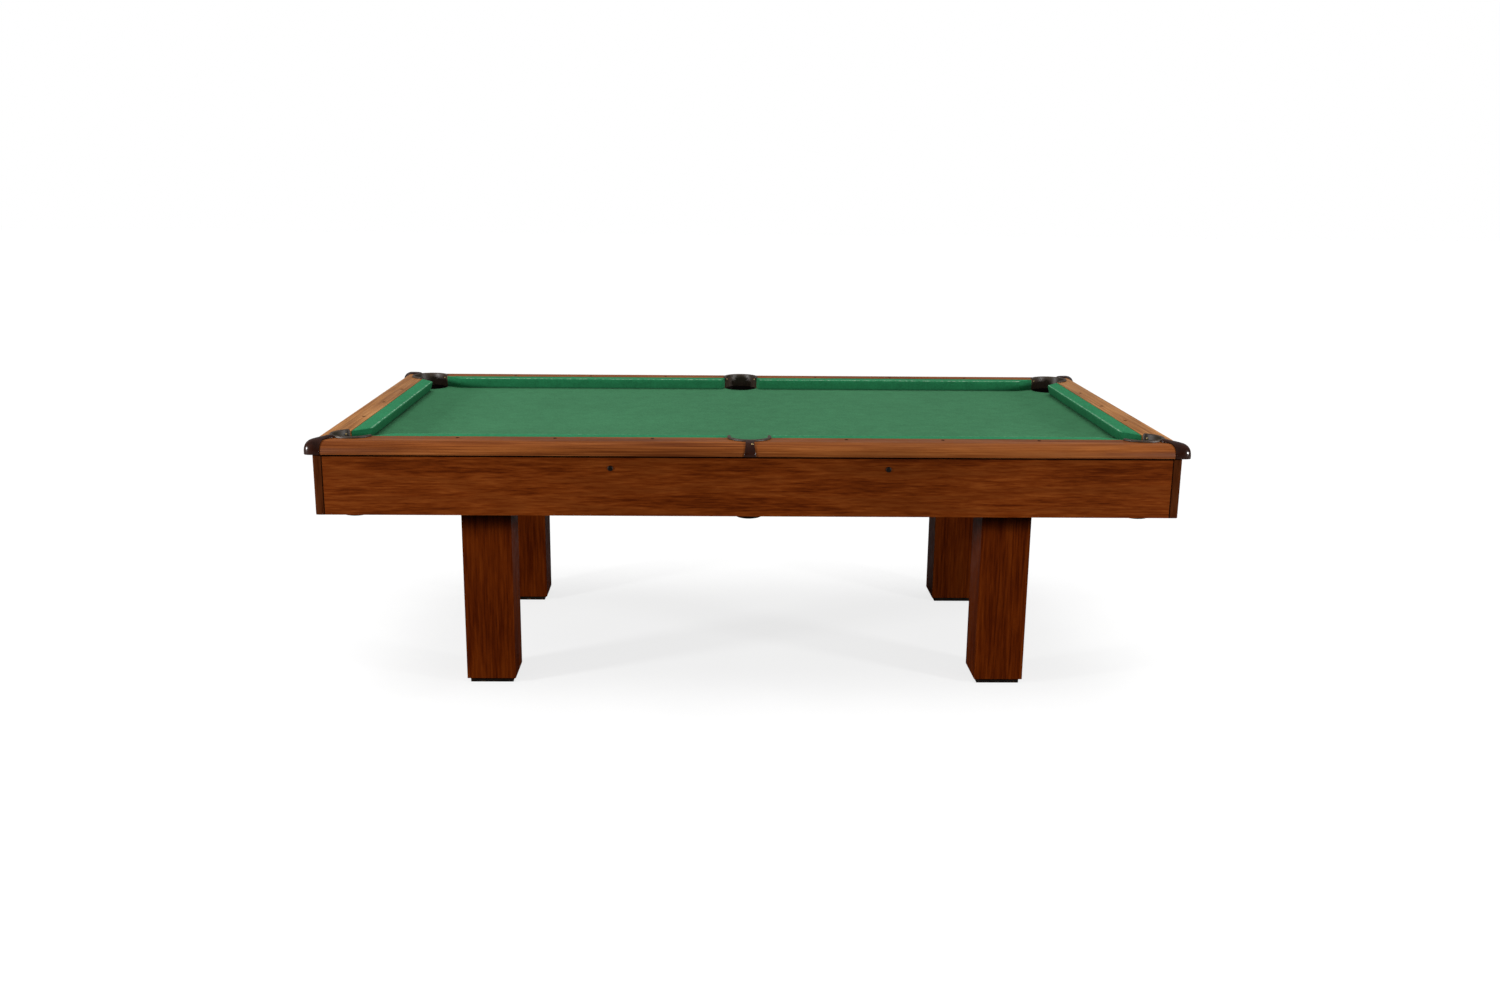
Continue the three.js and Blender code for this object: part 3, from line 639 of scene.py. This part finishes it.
def cushion_end(depth, half_length, kind):
    """How far a cushion reaches at a depth behind its nose, towards one end."""
    if kind == "side":
        reach = -SIDE_TIP + depth * math.tan(SIDE_LEAN)
        radius, along, setback = SIDE_RADIUS + LINER_ROOM, 0, SIDE_SETBACK
    else:
        reach = half_length - CORNER_TIP + depth * math.tan(CORNER_LEAN)
        radius, setback = CORNER_RADIUS + LINER_ROOM, CORNER_SETBACK
        along = half_length + setback
    inside = radius**2 - (depth - setback) ** 2
    if inside > 0 and reach > along - math.sqrt(inside):
        return along - math.sqrt(inside)
    return reach


CUSHION_MIDDLE = Vector((0.026, BED_TOP + 0.018))  # in the section
CUSHION_ROUNDING = 0.0022
COVER_WAVE = 0.00022


def add_cushion(name, turn, half_length, half_width, left, right):
    """A cushion with rounded ends, slightly uneven along its length as glued cloth is."""
    section = cushion_section()
    rounding = CUSHION_ROUNDING
    # How far each ring at an end is drawn in towards the section's middle, and from the end.
    insets = [(1, 0), (0.45, 0.18), (0.12, 0.5), (0, 1)]
    stations = [(i, 0.0) for i in insets] + [((0, 0), t) for t in np.linspace(0, 1, 34)[1:-1]]
    stations += [(i, 1.0) for i in reversed(insets)]
    rings = []
    for (shrink, inset), share in stations:
        ring = []
        for point in map(Vector, section):
            depth = point.x
            towards = (CUSHION_MIDDLE - point).normalized()
            d, z = point + towards * shrink * rounding
            low = -cushion_end(d, half_length, left) + inset * rounding
            high = cushion_end(d, half_length, right) - inset * rounding
            x = low + (high - low) * share
            wave = noise.noise(Vector((x * 9, half_width * 3 + turn, depth * 20))) * COVER_WAVE
            ring.append((x, half_width + d, z + wave * (0 < share < 1)))
        rings.append(ring)
    bm = placed(skin(rings), turned(turn))
    node = f"cushion_{name}"
    cushion = add_piece(f"cushion_cover_{name}", bm, cushion_cloth, [node], sharp=60)


def rail_section(half_width):
    """(width, height) points round a rail: back, underside, front, quarter-round, top."""
    centre = (half_width + RAIL_REACH - RAIL_ROUND, RAIL_TOP - RAIL_ROUND)
    back = half_width + CUSHION_DEPTH
    return [
        (back, RAIL_BOTTOM),
        (half_width + RAIL_REACH, RAIL_BOTTOM),
        *arc(centre, RAIL_ROUND, 0, 90, 18),
        (back, RAIL_TOP),
    ]


def corner_outline(grow):
    """A corner casting's outline about the pocket's centre, with the table's corner towards +X +Y."""
    outer = RAIL_REACH - CORNER_SETBACK + grow
    neck_start, neck_end, flare, _ = casting_stops()
    side = outer - grow - BULB_LEG - grow
    half = NECK_WIDTH / 2 + grow
    far = 0.4
    lower = [diagonal(neck_start - grow, -half), diagonal(neck_end - grow, -half)]
    bend = bezier(lower[1], diagonal(flare - grow, -half), (outer, side), 12)[1:]
    lower += bend
    upper = [(y, x) for x, y in reversed(lower)]
    return lower + [(far, side), (far, far), (side, far)] + upper


def diagonal(s, t):
    return ((s - t) * math.sqrt(0.5), (s + t) * math.sqrt(0.5))


def bezier(start, control, end, steps):
    a, b, c = (np.array(p) for p in (start, control, end))
    return [tuple(a * (1 - t) ** 2 + 2 * b * t * (1 - t) + c * t * t) for t in np.linspace(0, 1, steps + 1)]


def casting_stops():
    """Distances from a corner pocket's centre to the neck's start, its end, the flare and the bulb."""
    reach = RAIL_REACH - CORNER_SETBACK
    start = CORNER_RADIUS + FLANGE_WIDTH + GAP
    bulb = (2 * reach - BULB_LEG) * math.sqrt(0.5)
    end = (start + bulb) / 2
    return start, end, end + (bulb - end) / 3, bulb


CASTING_ROOM = 0.0005


def bulb_cutter():
    """What a corner casting takes out of the rails beyond its neck."""
    outline = prism(corner_outline(CASTING_ROOM), RAIL_BOTTOM - 0.01, RAIL_TOP + 0.02)
    inner = (casting_stops()[1] - CASTING_ROOM) * math.sqrt(2)
    far = 0.5
    keep = prism([(inner, 0), (far, 0), (far, far), (0, far), (0, inner)], CUT_LOW, CUT_HIGH)
    return boolean(outline, keep, "INTERSECT")


RAIL_EDGE = 0.0009
BAR_HALF = 1.5  # longer than half of any rail


def add_rail(name, turn, half_length, half_width, left, right):
    """A rail with mitred or square ends, cut out for the liners and the corner castings."""
    inner, outer = CUSHION_DEPTH - 0.001, RAIL_REACH + 0.001
    ends = []
    for kind in (left, right):
        at_pocket = kind == "side"
        ends.append([-GAP if at_pocket else half_length + depth - GAP for depth in (inner, outer)])
    (left_inner, left_outer), (right_inner, right_outer) = ends
    plan = [
        (-left_inner, half_width + inner),
        (right_inner, half_width + inner),
        (right_outer, half_width + outer),
        (-left_outer, half_width + outer),
    ]
    section = rail_section(half_width)
    bar = skin([[(x, y, z) for y, z in section] for x in (-BAR_HALF, BAR_HALF)])
    rail = boolean(bar, prism(plan, CUT_LOW, CUT_HIGH), "INTERSECT")
    for sign, kind in ((-1, left), (1, right)):
        radius = (SIDE_RADIUS if kind == "side" else CORNER_RADIUS) + LINER_ROOM
        along = 0 if kind == "side" else sign * (half_length + CORNER_SETBACK)
        setback = SIDE_SETBACK if kind == "side" else CORNER_SETBACK
        hole = prism(arc((along, half_width + setback), radius, 0, 357.5, 143), CUT_LOW, CUT_HIGH)
        rail = boolean(rail, hole, "DIFFERENCE")
        if kind == "corner":
            matrix = turned(0 if sign > 0 else 90, along, half_width + CORNER_SETBACK)
            rail = boolean(rail, placed(bulb_cutter(), matrix), "DIFFERENCE")
    material = rail_end_lit if name.endswith("end") else rail_long
    bm = placed(soften(rail, RAIL_EDGE), turned(turn))
    add_piece(f"rail_veneer_{name}", bm, material, [f"rail_{name}"], sharp=30)


def add_sights():
    """Eighteen dark dots let into the rail tops, a quarter of the table's half length apart."""
    places = [
        (sx * n * SIGHT_SPACING, sy * (NOSE_Y + SIGHT_SETBACK))
        for sx in (-1, 1) for sy in (-1, 1) for n in (1, 2, 3)
    ]
    places += [(sx * (NOSE_X + SIGHT_SETBACK), n * SIGHT_SPACING) for sx in (-1, 1) for n in (-1, 0, 1)]
    stem = [(0, -0.002), (0.0054, -0.002)]
    dome = [(0.0054, 0.0001), (0.0050, 0.0004), (0.003, 0.0006), (0, 0.0007)]
    for number, (x, y) in enumerate(places, 1):
        bm = placed(revolved(stem + dome, 28), turned(0, x, y, RAIL_TOP))
        add_piece(f"sight_{number:02d}", bm, sight_plastic)


# ---- Bed cloth ----

CLOTH_MARGIN = 0.045
CLOTH_THICKNESS = 0.0009
CLOTH_MESH = 0.03
CLOTH_HALF = (NOSE_X + CLOTH_MARGIN, NOSE_Y + CLOTH_MARGIN)


def cloth_rim(bites):
    """Points round the cloth and its pocket cut-outs, no further apart than its mesh."""
    half_x, half_y = CLOTH_HALF
    corners = [(-half_x, -half_y), (half_x, -half_y), (half_x, half_y), (-half_x, half_y)]
    slab = prism(corners, CUT_LOW, CUT_LOW + 0.1)
    for centre, radius in bites:
        hole = prism(arc(centre, radius, 0, 357, 119), CUT_LOW - 0.1, CUT_LOW + 0.2)
        slab = boolean(slab, hole, "DIFFERENCE")
    slab.faces.ensure_lookup_table()
    top = max((f for f in slab.faces if f.normal.z > 0.9), key=lambda f: f.calc_area())
    edge = [np.array((v.co.x, v.co.y)) for v in top.verts]
    slab.free()
    rim = []
    for start, end in zip(edge, edge[1:] + edge[:1]):
        steps = max(1, round(math.dist(start, end) / CLOTH_MESH))
        rim += [tuple(start + (end - start) * i / steps) for i in range(steps)]
    return rim


def cloth_grid(bites):
    """Points inside the cloth, clear of its rim."""
    half_x, half_y = CLOTH_HALF
    grid = []
    for x in np.arange(-half_x + 0.02, half_x, CLOTH_MESH):
        for y in np.arange(-half_y + 0.02, half_y, CLOTH_MESH):
            clear = all((Vector((x, y)) - centre).length > radius + 0.012 for centre, radius in bites)
            if clear and abs(x) < half_x - 0.01 and abs(y) < half_y - 0.01:
                grid.append((x, y))
    return grid


def add_bed_cloth():
    """Cloth stretched over the slates, turned down a little where it goes into the pockets."""
    bites = []  # the centre and radius of each cut-out
    for name in POCKETS:
        radius = (SIDE_RADIUS if "side" in name else CORNER_RADIUS) + LINER_ROOM
        bites.append((pocket_centre(name), radius))
    rim = cloth_rim(bites)
    numbers = list(range(len(rim)))
    edges = [(i, (i + 1) % len(rim)) for i in numbers]
    flat = [Vector(p) for p in rim + cloth_grid(bites)]
    points, _, faces, *_ = geometry.delaunay_2d_cdt(flat, edges, [numbers], 1, 1e-6)
    bm = bmesh.new()
    vertices = []
    for point in points:
        drop = max(0.0, 1 - min((point - c).length - r for c, r in bites) / 0.0025)
        vertices.append(bm.verts.new((*point, BED_TOP - 0.0005 * drop**2)))
    for face in faces:
        bm.faces.new([vertices[i] for i in face])
    bmesh.ops.recalc_face_normals(bm, faces=bm.faces)
    area = sum(f.calc_area() for f in bm.faces)
    cloth = add_piece("bed_cloth_sheet", bm, bed_cloth, ["bed_cloth"])
    thick = cloth.modifiers.new("thickness", "SOLIDIFY")
    thick.thickness = CLOTH_THICKNESS
    thick.offset = -1


# ---- Pockets ----


def liner_bucket(radius):
    """A bucket with thin walls, from its lip at the cloth down to its round bottom."""
    outer = radius + LINER_WALL
    lip = BED_TOP - 2 * GAP
    neck = SLATE_BOTTOM - BUCKET_TAPER
    centre = (outer - BUCKET_TAPER - BUCKET_ROUND, BUCKET_BOTTOM + BUCKET_ROUND)
    profile = [
        (0, BUCKET_BOTTOM),
        *arc(centre, BUCKET_ROUND, -90, 0, 8),
        (outer - BUCKET_TAPER, neck),
        (outer, SLATE_BOTTOM),
        (outer, lip - 0.0008),
        (outer - 0.0008, lip),
        (radius + 0.0008, lip),
        (radius, lip - 0.0008),
        (radius, SLATE_BOTTOM),
        (radius - BUCKET_TAPER, neck),
        *arc(centre, BUCKET_ROUND - LINER_WALL, 0, -90, 8),
        (0, BUCKET_BOTTOM + LINER_WALL),
    ]
    return revolved(profile, 96)


def liner_collar(radius, wall_arc, flange_arc, outward):
    """The wall behind the mouth and the rolled flange, as one band with round ends."""
    lip = BED_TOP - 2 * GAP
    under = RAIL_TOP + GAP
    inner, outer = radius + 0.00015, radius + LINER_WALL - 0.00015
    rolled_width, rolled_height = ROLLED_FLANGE
    rim = radius + rolled_width
    rings = []
    for angle in np.linspace(-flange_arc, flange_arc, 85):
        beyond = min(1.0, max(0.0, (abs(angle) - wall_arc + 1.5) / 1.5))
        base = lip - 0.002 + (under + 0.0004 - lip + 0.002) * beyond
        end = min(1.0, (flange_arc - abs(angle)) / 3.0)
        pinch = 1 - math.sqrt(max(0.0, 1 - (1 - end) ** 2))
        width = (rim - inner) * (1 - 0.7 * pinch)
        middle = (inner + rim) / 2 - 0.7 * pinch * (rim - inner) * 0.2
        low = middle - width / 2
        high = middle + width / 2
        crown = rolled_height * (1 - 0.6 * pinch)
        wall_outer = min(outer, high - 0.0012)
        roll = [
            (low + width * (1 - math.cos(t)) / 2, under + crown * (0.3 + 0.7 * math.sin(t) ** 0.8))
            for t in np.linspace(0, math.pi, 11)
        ]
        section = [(low, base), *roll, (high - 0.0003, under), (wall_outer, under), (wall_outer, base)]
        direction = math.radians(outward + angle)
        rings.append([(r * math.cos(direction), r * math.sin(direction), z) for r, z in section])
    return skin(rings)


def screw_head(radius):
    """A domed screw head with a cross recess, facing +Z."""
    steps = 40
    angles = [2 * math.pi * i / steps for i in range(steps)]
    cross = [0.22 + 0.36 * max(0.0, math.cos(4 * a)) ** 2 for a in angles]
    levels = [
        [(0.0, 0.1)] * steps,
        [(c * 0.85, 0.12) for c in cross],
        [(c, 0.58 - 0.2 * c) for c in cross],
        [(0.72, 0.42)] * steps,
        [(0.92, 0.24)] * steps,
        [(1.0, 0.05)] * steps,
        [(1.0, -0.4)] * steps,
        [(0.0, -0.4)] * steps,
    ]
    columns = []
    for a, column in zip(angles, zip(*levels)):
        place = [(radius * r, radius * h) for r, h in column]
        columns.append([(r * math.cos(a), r * math.sin(a), h) for r, h in place])
    return skin(columns, closed=True)


def facing(direction, place):
    """A matrix that turns +Z towards a direction and moves the origin to a place."""
    turn = Vector((0, 0, 1)).rotation_difference(Vector(direction)).to_matrix().to_4x4()
    return Matrix.Translation(place) @ turn


LINER_SCREW = 0.0032
TAB_SCREW = 0.003


def add_liner(name, turn):
    """A pocket liner in two pieces with its two screws. Angles are in degrees each side of outward."""
    is_side = "side" in name
    radius = SIDE_RADIUS if is_side else CORNER_RADIUS
    outward, wall_arc, flange_arc = (90, 91, 103) if is_side else (45, 120, 113)
    centre = pocket_centre(name)
    matrix = turned(turn, *centre)
    bucket = placed(liner_bucket(radius), matrix)
    node = f"pocket_{name}"
    add_piece(f"pocket_bucket_{name}", bucket, liner_plastic, [node], sharp=50)
    collar = placed(liner_collar(radius, wall_arc, flange_arc, outward), matrix)
    add_piece(f"pocket_collar_{name}", collar, flange_plastic, sharp=50)
    for side, sign in (("left", 1), ("right", -1)):
        angle = math.radians(outward + sign * (wall_arc - 20))
        place = Vector((math.cos(angle), math.sin(angle), 0)) * radius
        place.z = RAIL_TOP - 0.008
        inward = Vector((-math.cos(angle), -math.sin(angle), 0))
        screw = placed(screw_head(LINER_SCREW), matrix @ facing(inward, place))
        add_piece(f"liner_screw_{side}_{name}", screw, brass)


# ---- Castings ----

BULB_SQUARENESS = 3.5  # power of the rounded square that the bulb is in plan
BULB_FULLNESS = 0.7  # how much fuller than a quarter circle the bulb's side is
NECK_CROWN = 0.007


def bulb_shape():
    """Two functions of the plan: a point round the bulb's base, and the casting's height."""
    face = RAIL_REACH - CORNER_SETBACK + CASTING_THICKNESS
    rounding = RAIL_ROUND + CASTING_THICKNESS
    side = face - BULB_LEG - CASTING_THICKNESS
    power = BULB_SQUARENESS

    def swollen(across):
        """How far into the ball a point is: 0 where the casting meets the rail, 1 at the ball."""
        share = min(1.0, max(0.0, (across - side) / (face - rounding - side + 0.012)))
        return share * share * (3 - 2 * share)

    def base_point(k):
        proud = face + BALL_PROUD - rounding
        corner = proud + rounding * 0.5 ** (1 / power)
        y = corner + (side - corner) * abs(k) ** 1.2
        reach = (rounding**power - max(0.0, y - proud) ** power) ** (1 / power)
        x = face - rounding + BALL_PROUD * swollen(y) + reach
        return (x, y) if k <= 0 else (y, x)

    def height(x, y):
        across = [
            max(0.0, first - (face - rounding + BALL_PROUD * swollen(second)))
            for first, second in ((x, y), (y, x))
        ]
        away = min(1.0, sum(a**power for a in across) ** (1 / power) / rounding)
        full = 2 + BULB_FULLNESS * swollen(min(x, y))
        return CASTING_TOP - rounding + rounding * (1 - away**full) ** (1 / full)

    return base_point, height


def add_corner_casting(name, turn):
    """A thin shell: lines fan out from the neck over the dome of the bulb and down to its rim."""
    base_point, height = bulb_shape()
    neck_start, _, _, bulb = casting_stops()
    neck_start += ROLLED_FLANGE[0] - FLANGE_WIDTH
    neck_end = neck_start + 0.25 * (bulb - neck_start)
    flare = neck_start + 0.6 * (bulb - neck_start)
    half = NECK_WIDTH / 2
    lines = []
    for k in np.linspace(-1, 1, 33):
        swell = NECK_CROWN * (1 - k * k) ** 0.75
        along_neck = np.linspace(neck_start, neck_end, 7)[:-1]
        line = [(*diagonal(s, k * half), CASTING_TOP + swell) for s in along_neck]
        start, control = diagonal(neck_end, k * half), diagonal(flare, k * half)
        start, control, end = (np.array(p) for p in (start, control, base_point(k)))
        for share in np.linspace(0, 1, 24):
            t = math.sin(share * math.pi / 2)
            x, y = start * (1 - t) ** 2 + 2 * control * t * (1 - t) + end * t * t
            line.append((x, y, height(x, y) + swell * (1 - t) ** 0.7))
        bottom = line[-1][2]
        line += [(*end, bottom + (RAIL_BOTTOM - bottom) * t) for t in (0.4, 0.8, 1.0)]
        lines.append(line)
    bm = facing_up(placed(sheet_of(lines), turned(turn, *pocket_centre(name))))
    add_casting(f"corner_casting_{name}", bm, f"casting_{name}")


def add_casting(name, bm, node):
    """A lacquered shell from an open skin, in place of a CAD casting."""
    casting = add_piece(name, bm, casting_lacquer, [node], sharp=80)
    shell = casting.modifiers.new("shell", "SOLIDIFY")
    shell.thickness = CASTING_THICKNESS - 0.0002
    shell.offset = -1
    edge = casting.modifiers.new("edge", "BEVEL")
    edge.width = 0.0007
    edge.segments = 3
    edge.limit_method = "ANGLE"
    edge.angle_limit = math.radians(50)


TAB_CROWN = 0.0022
TAB_SCREW_PLACE = (-0.0065, 55)  # along the rail, and degrees up the rail's rounding


def add_side_casting(name, turn):
    """A tab from the pocket's flange over the rounded rail edge and down its face."""
    reach = RAIL_REACH - SIDE_SETBACK
    centre = (reach - RAIL_ROUND, RAIL_TOP - RAIL_ROUND)
    radius = RAIL_ROUND + GAP + CASTING_THICKNESS
    start = SIDE_RADIUS + ROLLED_FLANGE[0] + GAP
    path = arc(centre, radius, 90, 0, 18)
    path = [(start, CASTING_TOP)] + [p for p in path if p[0] > start + 0.001]
    path += [(path[-1][0], path[-1][1] + (RAIL_BOTTOM - path[-1][1]) * t) for t in (0.5, 1.0)]
    top_half, bottom_half = (w / 2 for w in TAB_WIDTHS)
    lines = []
    for k in np.linspace(-1, 1, 17):
        line = []
        for y, z in path:
            share = (CASTING_TOP - z) / (CASTING_TOP - RAIL_BOTTOM)
            half = top_half + (bottom_half - top_half) * share**1.3
            swell = TAB_CROWN * (1 - k**4)
            down = min(1.0, max(0.0, share * 1.4))
            line.append((k * half, y + swell * down, z + swell * (1 - down)))
        lines.append(line)
    bm = facing_up(placed(sheet_of(lines), turned(turn, *pocket_centre(name))))
    add_casting(f"side_casting_{name}", bm, f"casting_{name}")
    along, angle = TAB_SCREW_PLACE[0], math.radians(TAB_SCREW_PLACE[1])
    normal = Vector((0, math.cos(angle), math.sin(angle)))
    place = Vector((along, *centre)) + normal * (radius + 0.0018)
    matrix = turned(turn, *pocket_centre(name)) @ facing(normal, place)
    add_piece(f"tab_screw_{name}", placed(screw_head(TAB_SCREW), matrix), brass)


# ---- CAD nodes that stay ----

# The start of a node's name, its material and how wide its softened edges are. The first that fits holds.
FINISHES = [
    ("apron_bolt", black_steel, 0.0004),
    ("apron_left_end", apron_end, 0.0008),
    ("apron_right_end", apron_end, 0.0008),
    ("apron", apron_long, 0.0008),
    ("corner_post", post_veneer, 0.0008),
    ("leg", leg_laminate, 0.0012),
    ("foot_pad", foot_paint, 0.0004),
    ("foot_stem", zinc_steel, 0.0003),
    ("slate", slate_stone, 0.0008),
    ("long_beam", beam_long, 0.0015),
    ("cross_beam", beam_cross, 0.0015),
]


def finish_node(node, material, width):
    """A CAD node that stays gets its finish and soft edges."""
    for material_slot in node.material_slots:
        material_slot.link = "OBJECT"
        material_slot.material = material
    weld = node.modifiers.new("weld", "WELD")
    weld.merge_threshold = 1e-5
    edge = node.modifiers.new("edge", "BEVEL")
    edge.width = width
    edge.segments = 2
    edge.limit_method = "ANGLE"
    edge.angle_limit = math.radians(40)
    edge.harden_normals = True


def finish_nodes():
    for name, node in frame["nodes"].items():
        finish = next((f for f in FINISHES if name.startswith(f[0])), None)
        if finish:
            finish_node(node, *finish[1:])


# ---- Studio ----

WHITE = (1, 1, 1, 1)
LAMP_SIZE = 0.5
LAMPS = {"left_lamp": ((-4.0, -2.2, 1.35), 140), "right_lamp": ((3.9, -2.6, 1.35), 115)}
LAMP_TARGET = Vector((0, 0, 0.7))
FLOOR_GLOW = 0.78


def add_world():
    """White to the camera. To the table it is faint light, more from above and behind."""
    world = bpy.data.worlds.new("studio")
    world.use_nodes = True
    tree = world.node_tree
    bpy.context.scene.world = world
    direction = add_node(tree, "TexCoord").outputs["Generated"]
    parts = split(tree, direction)
    behind = map_range(tree, parts[1], -0.1, 0.6, 0.0, 0.15)
    above = map_range(tree, parts[2], 0.0, 0.8, 0.0, 0.25)
    light = maths(tree, "ADD", maths(tree, "ADD", behind, above), 0.03)
    seen = add_node(tree, "LightPath").outputs["Is Camera Ray"]
    background = tree.nodes["Background"]
    background.inputs["Color"].default_value = WHITE
    tree.links.new(maths(tree, "MAXIMUM", light, seen), background.inputs["Strength"])


def add_lamp(name, place, power):
    data = bpy.data.lights.new(name, "AREA")
    data.shape = "SQUARE"
    data.size = LAMP_SIZE
    data.energy = power
    lamp = bpy.data.objects.new(name, data)
    lamp.location = place
    lamp.rotation_euler = (LAMP_TARGET - Vector(place)).to_track_quat("-Z", "Y").to_euler()
    bpy.context.scene.collection.objects.link(lamp)


def add_ceiling_bounce():
    """Wide soft light straight down, which leaves no highlight on the castings."""
    data = bpy.data.lights.new("ceiling_bounce", "SUN")
    data.energy = 2.7
    data.angle = math.radians(60)
    bounce = bpy.data.objects.new("ceiling_bounce", data)
    bounce.visible_glossy = False
    bpy.context.scene.collection.objects.link(bounce)


def add_floor():
    """Pale to the camera, with a darker paint that throws little light up at the table."""
    material, tree, shader = new_material("floor_paint", Roughness=0.9, Specular_IOR_Level=0.1)
    paint = ramp(tree, noise_of(tree, coordinates(tree), 3, 4), (0.3, 0.2), (0.7, 0.22))
    seen = add_node(tree, "LightPath").outputs["Is Camera Ray"]
    glow = maths(tree, "MULTIPLY", seen, FLOOR_GLOW)
    connect(tree, shader, Base_Color=paint, Emission_Strength=glow)
    shader.inputs["Emission Color"].default_value = WHITE
    bm = bmesh.new()
    bmesh.ops.create_grid(bm, x_segments=1, y_segments=1, size=30)
    floor = object_of(bm, "floor")
    floor.location.z = -0.0005
    floor.data.materials.append(material)


def add_studio():
    bpy.context.scene.view_settings.view_transform = "Standard"
    add_world()
    for name, lamp in LAMPS.items():
        add_lamp(name, *lamp)
    add_ceiling_bounce()
    add_floor()


add_camera()
for side_name, side in SIDES.items():
    add_cushion(side_name, *side)
    add_rail(side_name, *side)
add_sights()
add_bed_cloth()
for pocket_name, pocket_turn in POCKETS.items():
    add_liner(pocket_name, pocket_turn)
    if "side" in pocket_name:
        add_side_casting(pocket_name, pocket_turn)
    else:
        add_corner_casting(pocket_name, pocket_turn)
finish_nodes()
add_studio()
